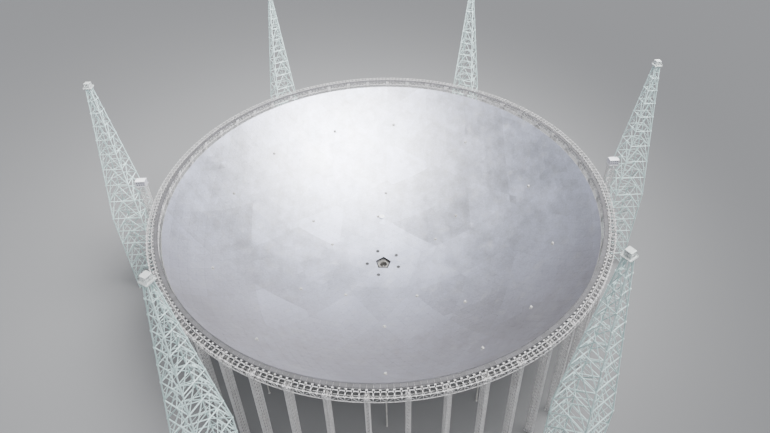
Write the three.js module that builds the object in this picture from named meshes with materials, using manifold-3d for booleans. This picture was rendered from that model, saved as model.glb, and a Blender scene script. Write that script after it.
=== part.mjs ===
// Radio telescope dish, as a 1:20 scale model in millimetres, +Z up, standing on z = 0.
// A spherical bowl of aluminium panels hangs by short ties from a lattice ring girder, which stands
// on fifty lattice columns.
// Six lattice towers stand outside the ring, each with a head on top. The two towers on the X axis
// also have a winch house on a stand on their inner side.
// Every column and tower leg runs down to one level floor, just under the lowest point of the bowl.

import * as THREE from 'three';
import { mergeVertices } from 'three/addons/utils/BufferGeometryUtils.js';
import Module from 'manifold-3d';

const wasm = await Module();
wasm.setup();

// Driving dimensions: REAL_METRE is one metre of the real telescope in this model.
const REAL_METRE = 50;
const SEAM = 0.3;

const SPHERE_RADIUS = 300 * REAL_METRE;
const BOWL_CLEARANCE = 6 * REAL_METRE;
const SPHERE_CENTRE_Z = SPHERE_RADIUS + BOWL_CLEARANCE;
const PANEL_DEPTH = 25;

const RING_INNER = 250.4 * REAL_METRE;
const RING_OUTER = 261.6 * REAL_METRE;
const RING_HEIGHT = 6.4 * REAL_METRE;
const RING_TOP = 147.3 * REAL_METRE;
const RING_SECTIONS = 10;
const BAYS_PER_SECTION = 5;
const CHORD = 28;
const FRAME_LIP = 4;
const BEAM_LIP = 3;

const RIM_RADIUS = 248.4 * REAL_METRE;
const TIE_WIDTH = 20;
const TIE_DEPTH = 16;
const TIE_FOOT = 28;
const TIE_OFFSET = 60;
const TIE_RAISE = 8;

const COLUMN_LEG = 34;
const COLUMN_WIDTH = 3.9 * REAL_METRE;
const COLUMN_DEPTH = 7.8 * REAL_METRE;

const HUB_RADIUS = 10.5 * REAL_METRE;
const INNER_ROWS = 5;
const OUTER_ROWS = 4;
const INNER_EDGE_ANGLE = THREE.MathUtils.degToRad(28.2);
const INNER_COUNTS = [1, 2, 4, 6, 8, 10];

const TOWERS = 6;
const TOWER_CIRCLE = 300 * REAL_METRE;
const TOWER_FIRST_ANGLE = THREE.MathUtils.degToRad(1.1);
const TOWER_TOP = 286 * REAL_METRE;
const TOWER_KNEE = 120 * REAL_METRE;
const TOWER_TOP_WIDTH = 5.4 * REAL_METRE;
const TOWER_BASE_WIDTH = 33.5 * REAL_METRE;
const TOWER_WALL = 40;
const TOWER_LEG = 62;
const TOWER_BAR = 40;
const TOWER_UPPER_BAYS = 4;
const TOWER_LOWER_BAYS = 1;

const DECK_WIDTH = 7.8 * REAL_METRE;
const DECK_DEPTH = 0.8 * REAL_METRE;
const HEAD_WIDTH = 5.4 * REAL_METRE;
const HEAD_HEIGHT = 6 * REAL_METRE;
const HEAD_WALL = 34;

const HOUSE_RADIUS = 279 * REAL_METRE;
const HOUSE_FLOOR = 156 * REAL_METRE;
const HOUSE_LENGTH = 10.8 * REAL_METRE;
const HOUSE_WIDTH = 7 * REAL_METRE;
const HOUSE_HEIGHT = 7.6 * REAL_METRE;
const STAND_INSET = 1 * REAL_METRE;
const STAND_LENGTH = 8 * REAL_METRE;
const STAND_WIDTH = 6.2 * REAL_METRE;
const STAND_LEG = 34;

const DOCK_OUTER = 6.8 * REAL_METRE;
const DOCK_INNER = 4.6 * REAL_METRE;
const DOCK_TOP = 3.4 * REAL_METRE;
const DOCK_SIDES = 20;
const HUB_FRAME_WIDTH = 1.1 * REAL_METRE;
const HUB_FRAME_DEPTH = 36;
const HUB_ARM_WIDTH = 1.2 * REAL_METRE;

const BAY_ANGLE = (2 * Math.PI) / (RING_SECTIONS * BAYS_PER_SECTION);
const SECTION_ANGLE = BAY_ANGLE * BAYS_PER_SECTION;
// The bowl's seams and the corners of its central opening lie in line with columns.
const HUB_TURN = 2 * BAY_ANGLE;

const materials = {
  panel: new THREE.MeshStandardMaterial({ color: 0xb4b6bd, roughness: 0.38, metalness: 0.7 }),
  girder: new THREE.MeshStandardMaterial({ color: 0xd9d8d4, roughness: 0.55, metalness: 0.2 }),
  tower: new THREE.MeshStandardMaterial({ color: 0xa9bdb6, roughness: 0.55, metalness: 0.2 }),
  head: new THREE.MeshStandardMaterial({ color: 0xd4dbd8, roughness: 0.5, metalness: 0.1 }),
  house: new THREE.MeshStandardMaterial({ color: 0xeef0f0, roughness: 0.6, metalness: 0.0 }),
  dock: new THREE.MeshStandardMaterial({ color: 0xc6c7c4, roughness: 0.6, metalness: 0.1 }),
};

// A closed geometry as a solid that can be joined and cut.
function solid(geometry) {
  const plain = geometry.index ? geometry.toNonIndexed() : geometry.clone();
  plain.deleteAttribute('normal');
  plain.deleteAttribute('uv');
  const merged = mergeVertices(plain, 1e-3);
  return new wasm.Manifold(new wasm.Mesh({
    numProp: 3,
    vertProperties: new Float32Array(merged.attributes.position.array),
    triVerts: new Uint32Array(merged.index.array),
  }));
}

// A solid turned back into a geometry.
function geometryOf(body) {
  const mesh = body.getMesh();
  const geometry = new THREE.BufferGeometry();
  geometry.setAttribute('position', new THREE.BufferAttribute(new Float32Array(mesh.vertProperties), 3));
  geometry.setIndex(new THREE.BufferAttribute(new Uint32Array(mesh.triVerts), 1));
  return geometry;
}

// An upright prism with a plan outline of [x, y] points, from zLow to zHigh.
function prism(points, zLow, zHigh) {
  const shape = new THREE.Shape(points.map(([x, y]) => new THREE.Vector2(x, y)));
  const geometry = new THREE.ExtrudeGeometry(shape, { depth: zHigh - zLow, bevelEnabled: false });
  geometry.translate(0, 0, zLow);
  return geometry;
}

// A box given by its two corners.
function box(low, high) {
  const geometry = new THREE.BoxGeometry(high[0] - low[0], high[1] - low[1], high[2] - low[2]);
  geometry.translate((low[0] + high[0]) / 2, (low[1] + high[1]) / 2, (low[2] + high[2]) / 2);
  return geometry;
}

function polar(radius, angle) {
  return [radius * Math.cos(angle), radius * Math.sin(angle)];
}

// A convex outline, counter-clockwise, with each side moved inwards by its own distance.
function inset(points, distances) {
  const lines = points.map((a, i) => {
    const b = points[(i + 1) % points.length];
    const length = Math.hypot(b[0] - a[0], b[1] - a[1]);
    const normal = [-(b[1] - a[1]) / length, (b[0] - a[0]) / length];
    return { normal, reach: normal[0] * a[0] + normal[1] * a[1] + distances[i] };
  });
  return lines.map((line, i) => {
    const before = lines[(i + lines.length - 1) % lines.length];
    const det = before.normal[0] * line.normal[1] - before.normal[1] * line.normal[0];
    return [
      (before.reach * line.normal[1] - line.reach * before.normal[1]) / det,
      (before.normal[0] * line.reach - line.normal[0] * before.reach) / det,
    ];
  });
}

// Plan outline of the ring between two radii: straight from column to column, so it has a corner
// at each column and ends in the middle of a bay, half a seam short of the next section.
function ringBand(inner, outer, endGap) {
  const first = -(BAYS_PER_SECTION - 1) / 2;
  const angles = Array.from({ length: BAYS_PER_SECTION }, (_, i) => (first + i) * BAY_ANGLE);
  const half = SECTION_ANGLE / 2;
  const chordMiddle = Math.cos(BAY_ANGLE / 2);
  const end = (radius, side) => {
    const [x, y] = polar(radius * chordMiddle, side * half);
    return [x + side * endGap * Math.sin(half), y - side * endGap * Math.cos(half)];
  };
  const row = (radius) => [end(radius, -1), ...angles.map((a) => polar(radius, a)), end(radius, 1)];
  return [...row(outer), ...row(inner).reverse()];
}

// The plan quadrilateral of one bay between two angles, where the section's ends are mid-bay.
function bayCorners(inner, outer, from, to) {
  const half = SECTION_ANGLE / 2;
  const reach = (angle) => (Math.abs(Math.abs(angle) - half) < 1e-9 ? Math.cos(BAY_ANGLE / 2) : 1);
  return [
    polar(inner * reach(from), from),
    polar(outer * reach(from), from),
    polar(outer * reach(to), to),
    polar(inner * reach(to), to),
  ];
}

// One section of the ring girder: four chords with a square frame at each column and at both ends,
// five columns of four legs each under two cross beams, down to the floor, and a tie to the bowl's
// edge in every bay.
function girderSection() {
  const low = RING_TOP - RING_HEIGHT;
  const first = -(BAYS_PER_SECTION - 1) / 2;
  const half = SECTION_ANGLE / 2;
  const stations = [-half];
  for (let i = 0; i < BAYS_PER_SECTION; i += 1) stations.push((first + i) * BAY_ANGLE);
  stations.push(half);
  let body = solid(prism(ringBand(RING_INNER, RING_OUTER, SEAM / 2), low, RING_TOP));
  for (let i = 0; i + 1 < stations.length; i += 1) {
    const corners = bayCorners(RING_INNER, RING_OUTER, stations[i], stations[i + 1]);
    const ends = [i === 0 ? CHORD : CHORD / 2, i + 2 === stations.length ? CHORD : CHORD / 2];
    const upright = prism(inset(corners, [ends[0], CHORD, ends[1], CHORD]), low - CHORD, RING_TOP + CHORD);
    const level = prism(inset(corners, [ends[0], -CHORD, ends[1], -CHORD]), low + CHORD, RING_TOP - CHORD);
    body = body.subtract(solid(upright)).subtract(solid(level));
  }
  for (const station of stations) {
    const reach = Math.abs(station) > half - 1e-9 ? Math.cos(BAY_ANGLE / 2) : 1;
    const frame = box(
      [RING_INNER * reach + CHORD + FRAME_LIP, -2 * CHORD, low + CHORD],
      [RING_OUTER * reach - CHORD - FRAME_LIP, 2 * CHORD, RING_TOP - CHORD],
    );
    frame.rotateZ(station);
    body = body.subtract(solid(frame));
  }
  for (let i = 0; i < BAYS_PER_SECTION; i += 1) {
    const turn = (first + i) * BAY_ANGLE;
    const edge = COLUMN_WIDTH / 2;
    const centre = (RING_INNER + RING_OUTER) / 2;
    for (const near of [centre - COLUMN_DEPTH / 2, centre + COLUMN_DEPTH / 2 - COLUMN_LEG]) {
      const far = near + COLUMN_LEG;
      const pieces = [
        box([near + BEAM_LIP, BEAM_LIP - edge, low], [far - BEAM_LIP, edge - BEAM_LIP, low + CHORD]),
        box([near, -edge, 0], [far, COLUMN_LEG - edge, low + CHORD / 2]),
        box([near, edge - COLUMN_LEG, 0], [far, edge, low + CHORD / 2]),
      ];
      for (const piece of pieces) {
        piece.rotateZ(turn);
        body = body.add(solid(piece));
      }
    }
  }
  for (let i = 0; i < BAYS_PER_SECTION; i += 1) {
    body = body.add(solid(rimTie((first - 0.5 + i) * BAY_ANGLE, low)));
  }
  return geometryOf(body);
}

// A short tie beside the middle of a bay, from the girder's lower inner chord down to the bowl's
// edge, with an upright face one seam's width off the edge.
function rimTie(angle, ringLow) {
  const middle = Math.cos(BAY_ANGLE / 2);
  const edge = RIM_RADIUS * middle + SEAM;
  const under = SPHERE_RADIUS + PANEL_DEPTH;
  const foot = SPHERE_CENTRE_Z - Math.sqrt(under ** 2 - RIM_RADIUS ** 2) + TIE_RAISE;
  const chord = RING_INNER * middle + CHORD / 2;
  const seat = ringLow + CHORD / 2;
  const tie = prism([
    [edge, foot],
    [edge + TIE_DEPTH, foot],
    [chord + TIE_DEPTH / 2, seat],
    [chord - TIE_DEPTH / 2, seat],
    [edge, foot + TIE_FOOT],
  ], 0, TIE_WIDTH);
  tie.rotateX(Math.PI / 2);
  tie.translate(0, TIE_OFFSET, 0);
  tie.rotateZ(angle);
  return tie;
}

// A point of the bowl: angle from the bottom of the sphere, azimuth, and the surface's radius.
function bowlPoint(surface, fromBottom, azimuth) {
  const r = surface * Math.sin(fromBottom);
  return [...polar(r, azimuth), SPHERE_CENTRE_Z - surface * Math.cos(fromBottom)];
}

// A shell patch of the bowl between two meridians, made of rows with given numbers of facets,
// every row at its own angle from the bottom. Its sides stand back by half a seam.
function bowlPatch(rowAngles, counts, azimuthFrom, azimuthTo, rimRadius) {
  const surfaces = [SPHERE_RADIUS, SPHERE_RADIUS + PANEL_DEPTH];
  const vertices = [];
  const index = [];
  const rows = surfaces.map((surface) => rowAngles.map((angle, k) => {
    const row = [];
    for (let i = 0; i <= counts[k]; i += 1) {
      const azimuth = azimuthFrom + ((azimuthTo - azimuthFrom) * i) / counts[k];
      let fromBottom = angle;
      if (k === 0) fromBottom += SEAM / 2 / surface;
      if (k === rowAngles.length - 1) fromBottom -= SEAM / 2 / surface;
      if (k === rowAngles.length - 1 && rimRadius) fromBottom = Math.asin(rimRadius / surface);
      const [x, y, z] = bowlPoint(surface, fromBottom, azimuth);
      const shift = i === 0 ? SEAM / 2 : i === counts[k] ? -SEAM / 2 : 0;
      row.push(vertices.length / 3);
      vertices.push(x - shift * Math.sin(azimuth), y + shift * Math.cos(azimuth), z);
    }
    return row;
  }));
  const triangle = (a, b, c, flip) => index.push(...(flip ? [a, c, b] : [a, b, c]));
  rows.forEach((surfaceRows, s) => {
    for (let k = 0; k + 1 < surfaceRows.length; k += 1) {
      const inner = surfaceRows[k];
      const outer = surfaceRows[k + 1];
      let i = 0;
      let j = 0;
      while (i + 1 < inner.length || j + 1 < outer.length) {
        const nextInner = (i + 1) / (inner.length - 1);
        const nextOuter = (j + 1) / (outer.length - 1);
        const stepOuter = i + 1 >= inner.length || (j + 1 < outer.length && nextOuter <= nextInner + 1e-9);
        if (stepOuter) {
          triangle(inner[i], outer[j], outer[j + 1], s === 1);
          j += 1;
        } else {
          triangle(inner[i], outer[j], inner[i + 1], s === 1);
          i += 1;
        }
      }
    }
  });
  const wall = (top, under) => {
    for (let i = 0; i + 1 < top.length; i += 1) {
      triangle(top[i], under[i], top[i + 1], false);
      triangle(top[i + 1], under[i], under[i + 1], false);
    }
  };
  const last = rowAngles.length - 1;
  wall(rows[0][last], rows[1][last]);
  wall([...rows[0][0]].reverse(), [...rows[1][0]].reverse());
  wall(rows[0].map((row) => row[0]), rows[1].map((row) => row[0]));
  wall(rows[0].map((row) => row[row.length - 1]).reverse(), rows[1].map((row) => row[row.length - 1]).reverse());
  const geometry = new THREE.BufferGeometry();
  geometry.setAttribute('position', new THREE.BufferAttribute(new Float32Array(vertices), 3));
  geometry.setIndex(index);
  return geometry;
}

// Half the tower's width at a height: straight from the floor to the knee, then tapering to the top.
function towerHalfWidth(z) {
  if (z <= TOWER_KNEE) return TOWER_BASE_WIDTH / 2;
  const share = (z - TOWER_KNEE) / (TOWER_TOP - TOWER_KNEE);
  return (TOWER_BASE_WIDTH + (TOWER_TOP_WIDTH - TOWER_BASE_WIDTH) * share) / 2;
}

// A square frustum about the Z axis, given by its half widths at two heights.
function frustum(halfLow, halfHigh, zLow, zHigh) {
  const geometry = new THREE.CylinderGeometry(
    halfHigh * Math.SQRT2, halfLow * Math.SQRT2, zHigh - zLow, 4, 1, false, Math.PI / 4,
  );
  geometry.rotateX(Math.PI / 2);
  geometry.translate(0, 0, (zLow + zHigh) / 2);
  return geometry;
}

// Heights of the tower's horizontal frames: even bays below the knee, shorter ones towards the top.
function towerLevels() {
  const levels = [];
  for (let i = 0; i < TOWER_LOWER_BAYS; i += 1) levels.push((TOWER_KNEE * i) / TOWER_LOWER_BAYS);
  const ratio = (TOWER_TOP_WIDTH / TOWER_BASE_WIDTH) ** (1 / TOWER_UPPER_BAYS);
  const rise = TOWER_TOP - TOWER_KNEE;
  for (let i = 0; i <= TOWER_UPPER_BAYS; i += 1) {
    levels.push(TOWER_KNEE + (rise * (1 - ratio ** i)) / (1 - ratio ** TOWER_UPPER_BAYS));
  }
  return levels;
}

// One lattice tower: four corner legs, horizontal frames and one diagonal in every panel.
function tower() {
  const top = towerHalfWidth(TOWER_TOP);
  const base = TOWER_BASE_WIDTH / 2;
  const over = 100;
  const slope = (base - top) / (TOWER_TOP - TOWER_KNEE);
  const outside = solid(frustum(base, base, 0, TOWER_KNEE)).add(solid(frustum(base, top, TOWER_KNEE, TOWER_TOP)));
  const inside = solid(frustum(base - TOWER_WALL, base - TOWER_WALL, -over, TOWER_KNEE)).add(
    solid(frustum(base - TOWER_WALL, top - TOWER_WALL - slope * over, TOWER_KNEE, TOWER_TOP + over)),
  );
  let body = outside.subtract(inside);
  const levels = towerLevels();
  for (let i = 0; i + 1 < levels.length; i += 1) {
    const lowHalf = towerHalfWidth(levels[i]);
    const highHalf = towerHalfWidth(levels[i + 1]);
    const a = [-lowHalf, levels[i]];
    const b = [lowHalf, levels[i]];
    const c = [highHalf, levels[i + 1]];
    const d = [-highHalf, levels[i + 1]];
    const sill = i === 0 ? -over : TOWER_BAR / 2;
    const head = i + 2 === levels.length ? TOWER_BAR : TOWER_BAR / 2;
    const windows = [
      inset([a, b, c], [sill, TOWER_LEG, TOWER_BAR / 2]),
      inset([a, c, d], [TOWER_BAR / 2, head, TOWER_LEG]),
    ];
    for (const points of windows) {
      const mirrored = i % 2 ? points.map(([y, z]) => [-y, z]).reverse() : points;
      for (const turn of [0, Math.PI / 2]) {
        const cut = prism(mirrored, -TOWER_BASE_WIDTH, TOWER_BASE_WIDTH);
        cut.rotateX(Math.PI / 2);
        cut.rotateZ(turn);
        body = body.subtract(solid(cut));
      }
    }
  }
  return geometryOf(body);
}

// The deck on a tower's top with the open box frame that holds its guide wheels.
function towerHead() {
  const half = HEAD_WIDTH / 2;
  const edge = DECK_WIDTH / 2;
  const low = TOWER_TOP + SEAM;
  const deck = low + DECK_DEPTH;
  const high = low + HEAD_HEIGHT;
  let body = solid(box([-half, -half, low], [half, half, high]));
  const open = half - HEAD_WALL;
  const sill = high - HEAD_WALL;
  body = body.subtract(solid(box([-open, -open, deck], [open, open, sill])));
  body = body.subtract(solid(box([-half * 2, -open, deck], [half * 2, open, sill])));
  body = body.subtract(solid(box([-open, -half * 2, deck], [open, half * 2, sill])));
  body = body.add(solid(box([-edge, -edge, low], [edge, edge, deck])));
  return geometryOf(body);
}

// A winch house on a four-legged stand, on the line from the tower to the bowl's centre.
function winchHouse() {
  const house = box(
    [HOUSE_RADIUS - HOUSE_LENGTH / 2, -HOUSE_WIDTH / 2, HOUSE_FLOOR],
    [HOUSE_RADIUS + HOUSE_LENGTH / 2, HOUSE_WIDTH / 2, HOUSE_FLOOR + HOUSE_HEIGHT],
  );
  let body = solid(house);
  for (const along of [-1, 1]) {
    for (const side of [-1, 1]) {
      const x = HOUSE_RADIUS - STAND_INSET + (along * (STAND_LENGTH - STAND_LEG)) / 2;
      const y = (side * (STAND_WIDTH - STAND_LEG)) / 2;
      const half = STAND_LEG / 2;
      body = body.add(solid(box([x - half, y - half, 0], [x + half, y + half, HOUSE_FLOOR + half])));
    }
  }
  return geometryOf(body);
}

// Radius from the axis to the middle of a side of the pentagonal opening.
const hubApothem = (HUB_RADIUS - SEAM) * Math.cos(Math.PI / 5);

// The pentagonal frame in the bowl's central opening, with an arm from each side down to the dock.
function hubFrame() {
  const corner = (radius, i) => polar(radius, HUB_TURN + (i * 2 * Math.PI) / 5);
  const outer = Array.from({ length: 5 }, (_, i) => corner(HUB_RADIUS - SEAM, i));
  const inner = Array.from({ length: 5 }, (_, i) => corner(HUB_RADIUS - SEAM - HUB_FRAME_WIDTH, i));
  const low = BOWL_CLEARANCE - HUB_FRAME_DEPTH;
  let body = solid(prism(outer, low, BOWL_CLEARANCE));
  body = body.subtract(solid(prism(inner, low - 1, BOWL_CLEARANCE + 1)));
  const inward = DOCK_OUTER * Math.cos(Math.PI / DOCK_SIDES) + SEAM;
  const outward = hubApothem - HUB_FRAME_WIDTH / 2;
  for (let i = 0; i < 5; i += 1) {
    const arm = prism([
      [inward, DOCK_TOP - HUB_FRAME_DEPTH],
      [outward, low],
      [outward, BOWL_CLEARANCE - HUB_FRAME_DEPTH / 2],
      [inward, DOCK_TOP],
    ], -HUB_ARM_WIDTH / 2, HUB_ARM_WIDTH / 2);
    arm.rotateX(Math.PI / 2);
    arm.rotateZ(HUB_TURN + Math.PI / 5 + (i * 2 * Math.PI) / 5);
    body = body.add(solid(arm));
  }
  return geometryOf(body);
}

// The round dock for the receiver cabin, a drum that stands on the floor inside the pentagon.
function dock() {
  const profile = [
    new THREE.Vector2(DOCK_INNER, 0),
    new THREE.Vector2(DOCK_OUTER, 0),
    new THREE.Vector2(DOCK_OUTER, DOCK_TOP),
    new THREE.Vector2(DOCK_INNER, DOCK_TOP),
    new THREE.Vector2(DOCK_INNER, 0),
  ];
  const geometry = new THREE.LatheGeometry(profile, DOCK_SIDES);
  geometry.rotateX(Math.PI / 2);
  geometry.rotateZ(HUB_TURN - Math.PI / DOCK_SIDES);
  return geometry;
}

const telescope = new THREE.Group();

function place(name, geometry, material, turn = 0, x = 0, y = 0) {
  const mesh = new THREE.Mesh(geometry, material);
  mesh.name = name;
  mesh.rotation.z = turn;
  mesh.position.set(x, y, 0);
  telescope.add(mesh);
}

const two = (n) => String(n).padStart(2, '0');

const sectionShape = girderSection();
for (let i = 0; i < RING_SECTIONS; i += 1) {
  place(`girder_section_${two(i + 1)}`, sectionShape, materials.girder, i * SECTION_ANGLE);
}

// Five inner patches of a fifth of the bowl each, and ten outer ones of a tenth.
const hubAngle = Math.asin(HUB_RADIUS / SPHERE_RADIUS);
const innerAngles = Array.from({ length: INNER_ROWS + 1 }, (_, k) => (
  hubAngle + ((INNER_EDGE_ANGLE - hubAngle) * k) / INNER_ROWS));
const innerShape = bowlPatch(innerAngles, INNER_COUNTS, 0, 2 * SECTION_ANGLE, 0);
for (let i = 0; i < RING_SECTIONS / 2; i += 1) {
  place(`reflector_inner_${i + 1}`, innerShape, materials.panel, HUB_TURN + 2 * i * SECTION_ANGLE);
}
const rimAngle = Math.asin(RIM_RADIUS / SPHERE_RADIUS);
const outerAngles = Array.from({ length: OUTER_ROWS + 1 }, (_, k) => (
  INNER_EDGE_ANGLE + ((rimAngle - INNER_EDGE_ANGLE) * k) / OUTER_ROWS));
const outerCounts = outerAngles.map(() => BAYS_PER_SECTION);
const outerShape = bowlPatch(outerAngles, outerCounts, 0, SECTION_ANGLE, RIM_RADIUS);
for (let i = 0; i < RING_SECTIONS; i += 1) {
  place(`reflector_outer_${two(i + 1)}`, outerShape, materials.panel, HUB_TURN + i * SECTION_ANGLE);
}

place('hub_frame', hubFrame(), materials.dock);
place('docking_platform', dock(), materials.dock);

const towerShape = tower();
const headShape = towerHead();
const houseShape = winchHouse();
for (let i = 0; i < TOWERS; i += 1) {
  const angle = TOWER_FIRST_ANGLE + (i * 2 * Math.PI) / TOWERS;
  const [x, y] = polar(TOWER_CIRCLE, angle);
  place(`tower_${i + 1}`, towerShape, materials.tower, angle, x, y);
  place(`tower_head_${i + 1}`, headShape, materials.head, angle, x, y);
  if (i % 3 === 0) place(`winch_house_${i + 1}`, houseShape, materials.house, angle);
}

export default telescope;
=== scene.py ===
"""Visual model of a spherical radio telescope at 1:20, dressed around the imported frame.

Lengths in the dataclasses are metres of the real telescope, with z counted from the floor.
Shell.piece turns them into metres of the model with SCALE, so every object stays at the origin.
"""

import functools
import logging
import math
from dataclasses import dataclass
from enum import Enum

import bpy
import numpy as np
from mathutils import Matrix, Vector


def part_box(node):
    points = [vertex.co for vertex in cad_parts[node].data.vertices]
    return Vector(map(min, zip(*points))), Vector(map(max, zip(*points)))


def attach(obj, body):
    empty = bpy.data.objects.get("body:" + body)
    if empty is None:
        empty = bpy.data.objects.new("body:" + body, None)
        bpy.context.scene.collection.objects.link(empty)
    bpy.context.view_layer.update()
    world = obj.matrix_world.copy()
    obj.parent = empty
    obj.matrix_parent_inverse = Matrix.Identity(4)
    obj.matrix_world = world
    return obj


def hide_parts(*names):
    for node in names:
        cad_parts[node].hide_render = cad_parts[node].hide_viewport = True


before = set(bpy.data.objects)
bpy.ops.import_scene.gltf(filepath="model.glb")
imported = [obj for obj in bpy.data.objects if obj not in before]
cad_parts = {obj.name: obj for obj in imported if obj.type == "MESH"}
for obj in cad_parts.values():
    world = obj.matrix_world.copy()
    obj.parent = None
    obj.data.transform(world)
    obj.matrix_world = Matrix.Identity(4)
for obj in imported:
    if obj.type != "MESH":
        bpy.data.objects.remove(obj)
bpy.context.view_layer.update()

SCALE = 0.05
TURN = 2 * math.pi
SMOOTH_BELOW = math.radians(65)
UP = np.array([0.0, 0.0, 1.0])

# The corners of a square, counter-clockwise, and the height of the lowest frame between four legs
SQUARE = np.array([[1, 1, 0], [-1, 1, 0], [-1, -1, 0], [1, -1, 0]])
FOOT = 0.4

Triple = tuple[float, float, float]
Numbers = float | np.ndarray
log = logging.getLogger("telescope")


class Slot(Enum):
    """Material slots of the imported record."""

    PANEL = "panel"
    GIRDER = "girder"
    TOWER = "tower"
    HEAD = "head"
    HOUSE = "house"
    DOCK = "dock"


# Points and vectors


def spot(x: Numbers, y: Numbers, z: Numbers) -> np.ndarray:
    """Points from their coordinates, each of them one for all or one per point."""
    return np.stack(np.broadcast_arrays(x, y, z), axis=-1)


def polar(radius: Numbers, azimuth: Numbers, z: Numbers) -> np.ndarray:
    """Points at x = radius cos(azimuth), y = radius sin(azimuth) and the given height."""
    return spot(radius * np.cos(azimuth), radius * np.sin(azimuth), z)


def unit(vectors: np.ndarray) -> np.ndarray:
    """Vectors divided by their own length."""
    return vectors / np.linalg.norm(vectors, axis=-1, keepdims=True)


def middle(a: np.ndarray, b: np.ndarray) -> np.ndarray:
    """Points halfway between two sets of points."""
    return (a + b) / 2


def neighbours(corners: np.ndarray) -> zip:
    """Each corner of a closed outline with the one after it."""
    return zip(corners, np.roll(corners, -1, axis=0))


def rectangle(inner: float, outer: float, low: float, high: float) -> np.ndarray:
    """A profile with square corners, counter-clockwise."""
    return np.array([[inner, low], [outer, low], [outer, high], [inner, high]])


def across(axis: np.ndarray) -> tuple[np.ndarray, np.ndarray]:
    """Two unit vectors at right angles to each axis and to each other.

    The first is the cross product of the vertical, or of X where the axis is nearly vertical,
    with the axis; the second is the cross product of the axis with the first.

    Args:
        axis: unit vectors, one per row.

    Returns:
        The two sets of vectors; first x second gives the axis back.
    """
    upright = np.abs(axis[:, 2:3]) > 0.95
    first = unit(np.cross(np.where(upright, [[1.0, 0.0, 0.0]], UP), axis))
    return first, np.cross(axis, first)


def grid_quads(rows: int, columns: int, closed: bool = False) -> np.ndarray:
    """Faces between the points of a grid whose last column joins its first.

    Args:
        rows: rows of points, numbered one after the other.
        columns: points in a row.
        closed: whether the last row joins the first too.

    Returns:
        Four point numbers a face: a point, the next in its row, and the same two a row on.
    """
    row = np.arange(rows if closed else rows - 1)[:, None]
    column = np.arange(columns)[None, :]
    here = row * columns
    ahead = (row + 1) % rows * columns
    beside = (column + 1) % columns
    corners = np.broadcast_arrays(here + column, here + beside, ahead + beside, ahead + column)
    return np.stack(corners, axis=-1).reshape(-1, 4)


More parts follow.
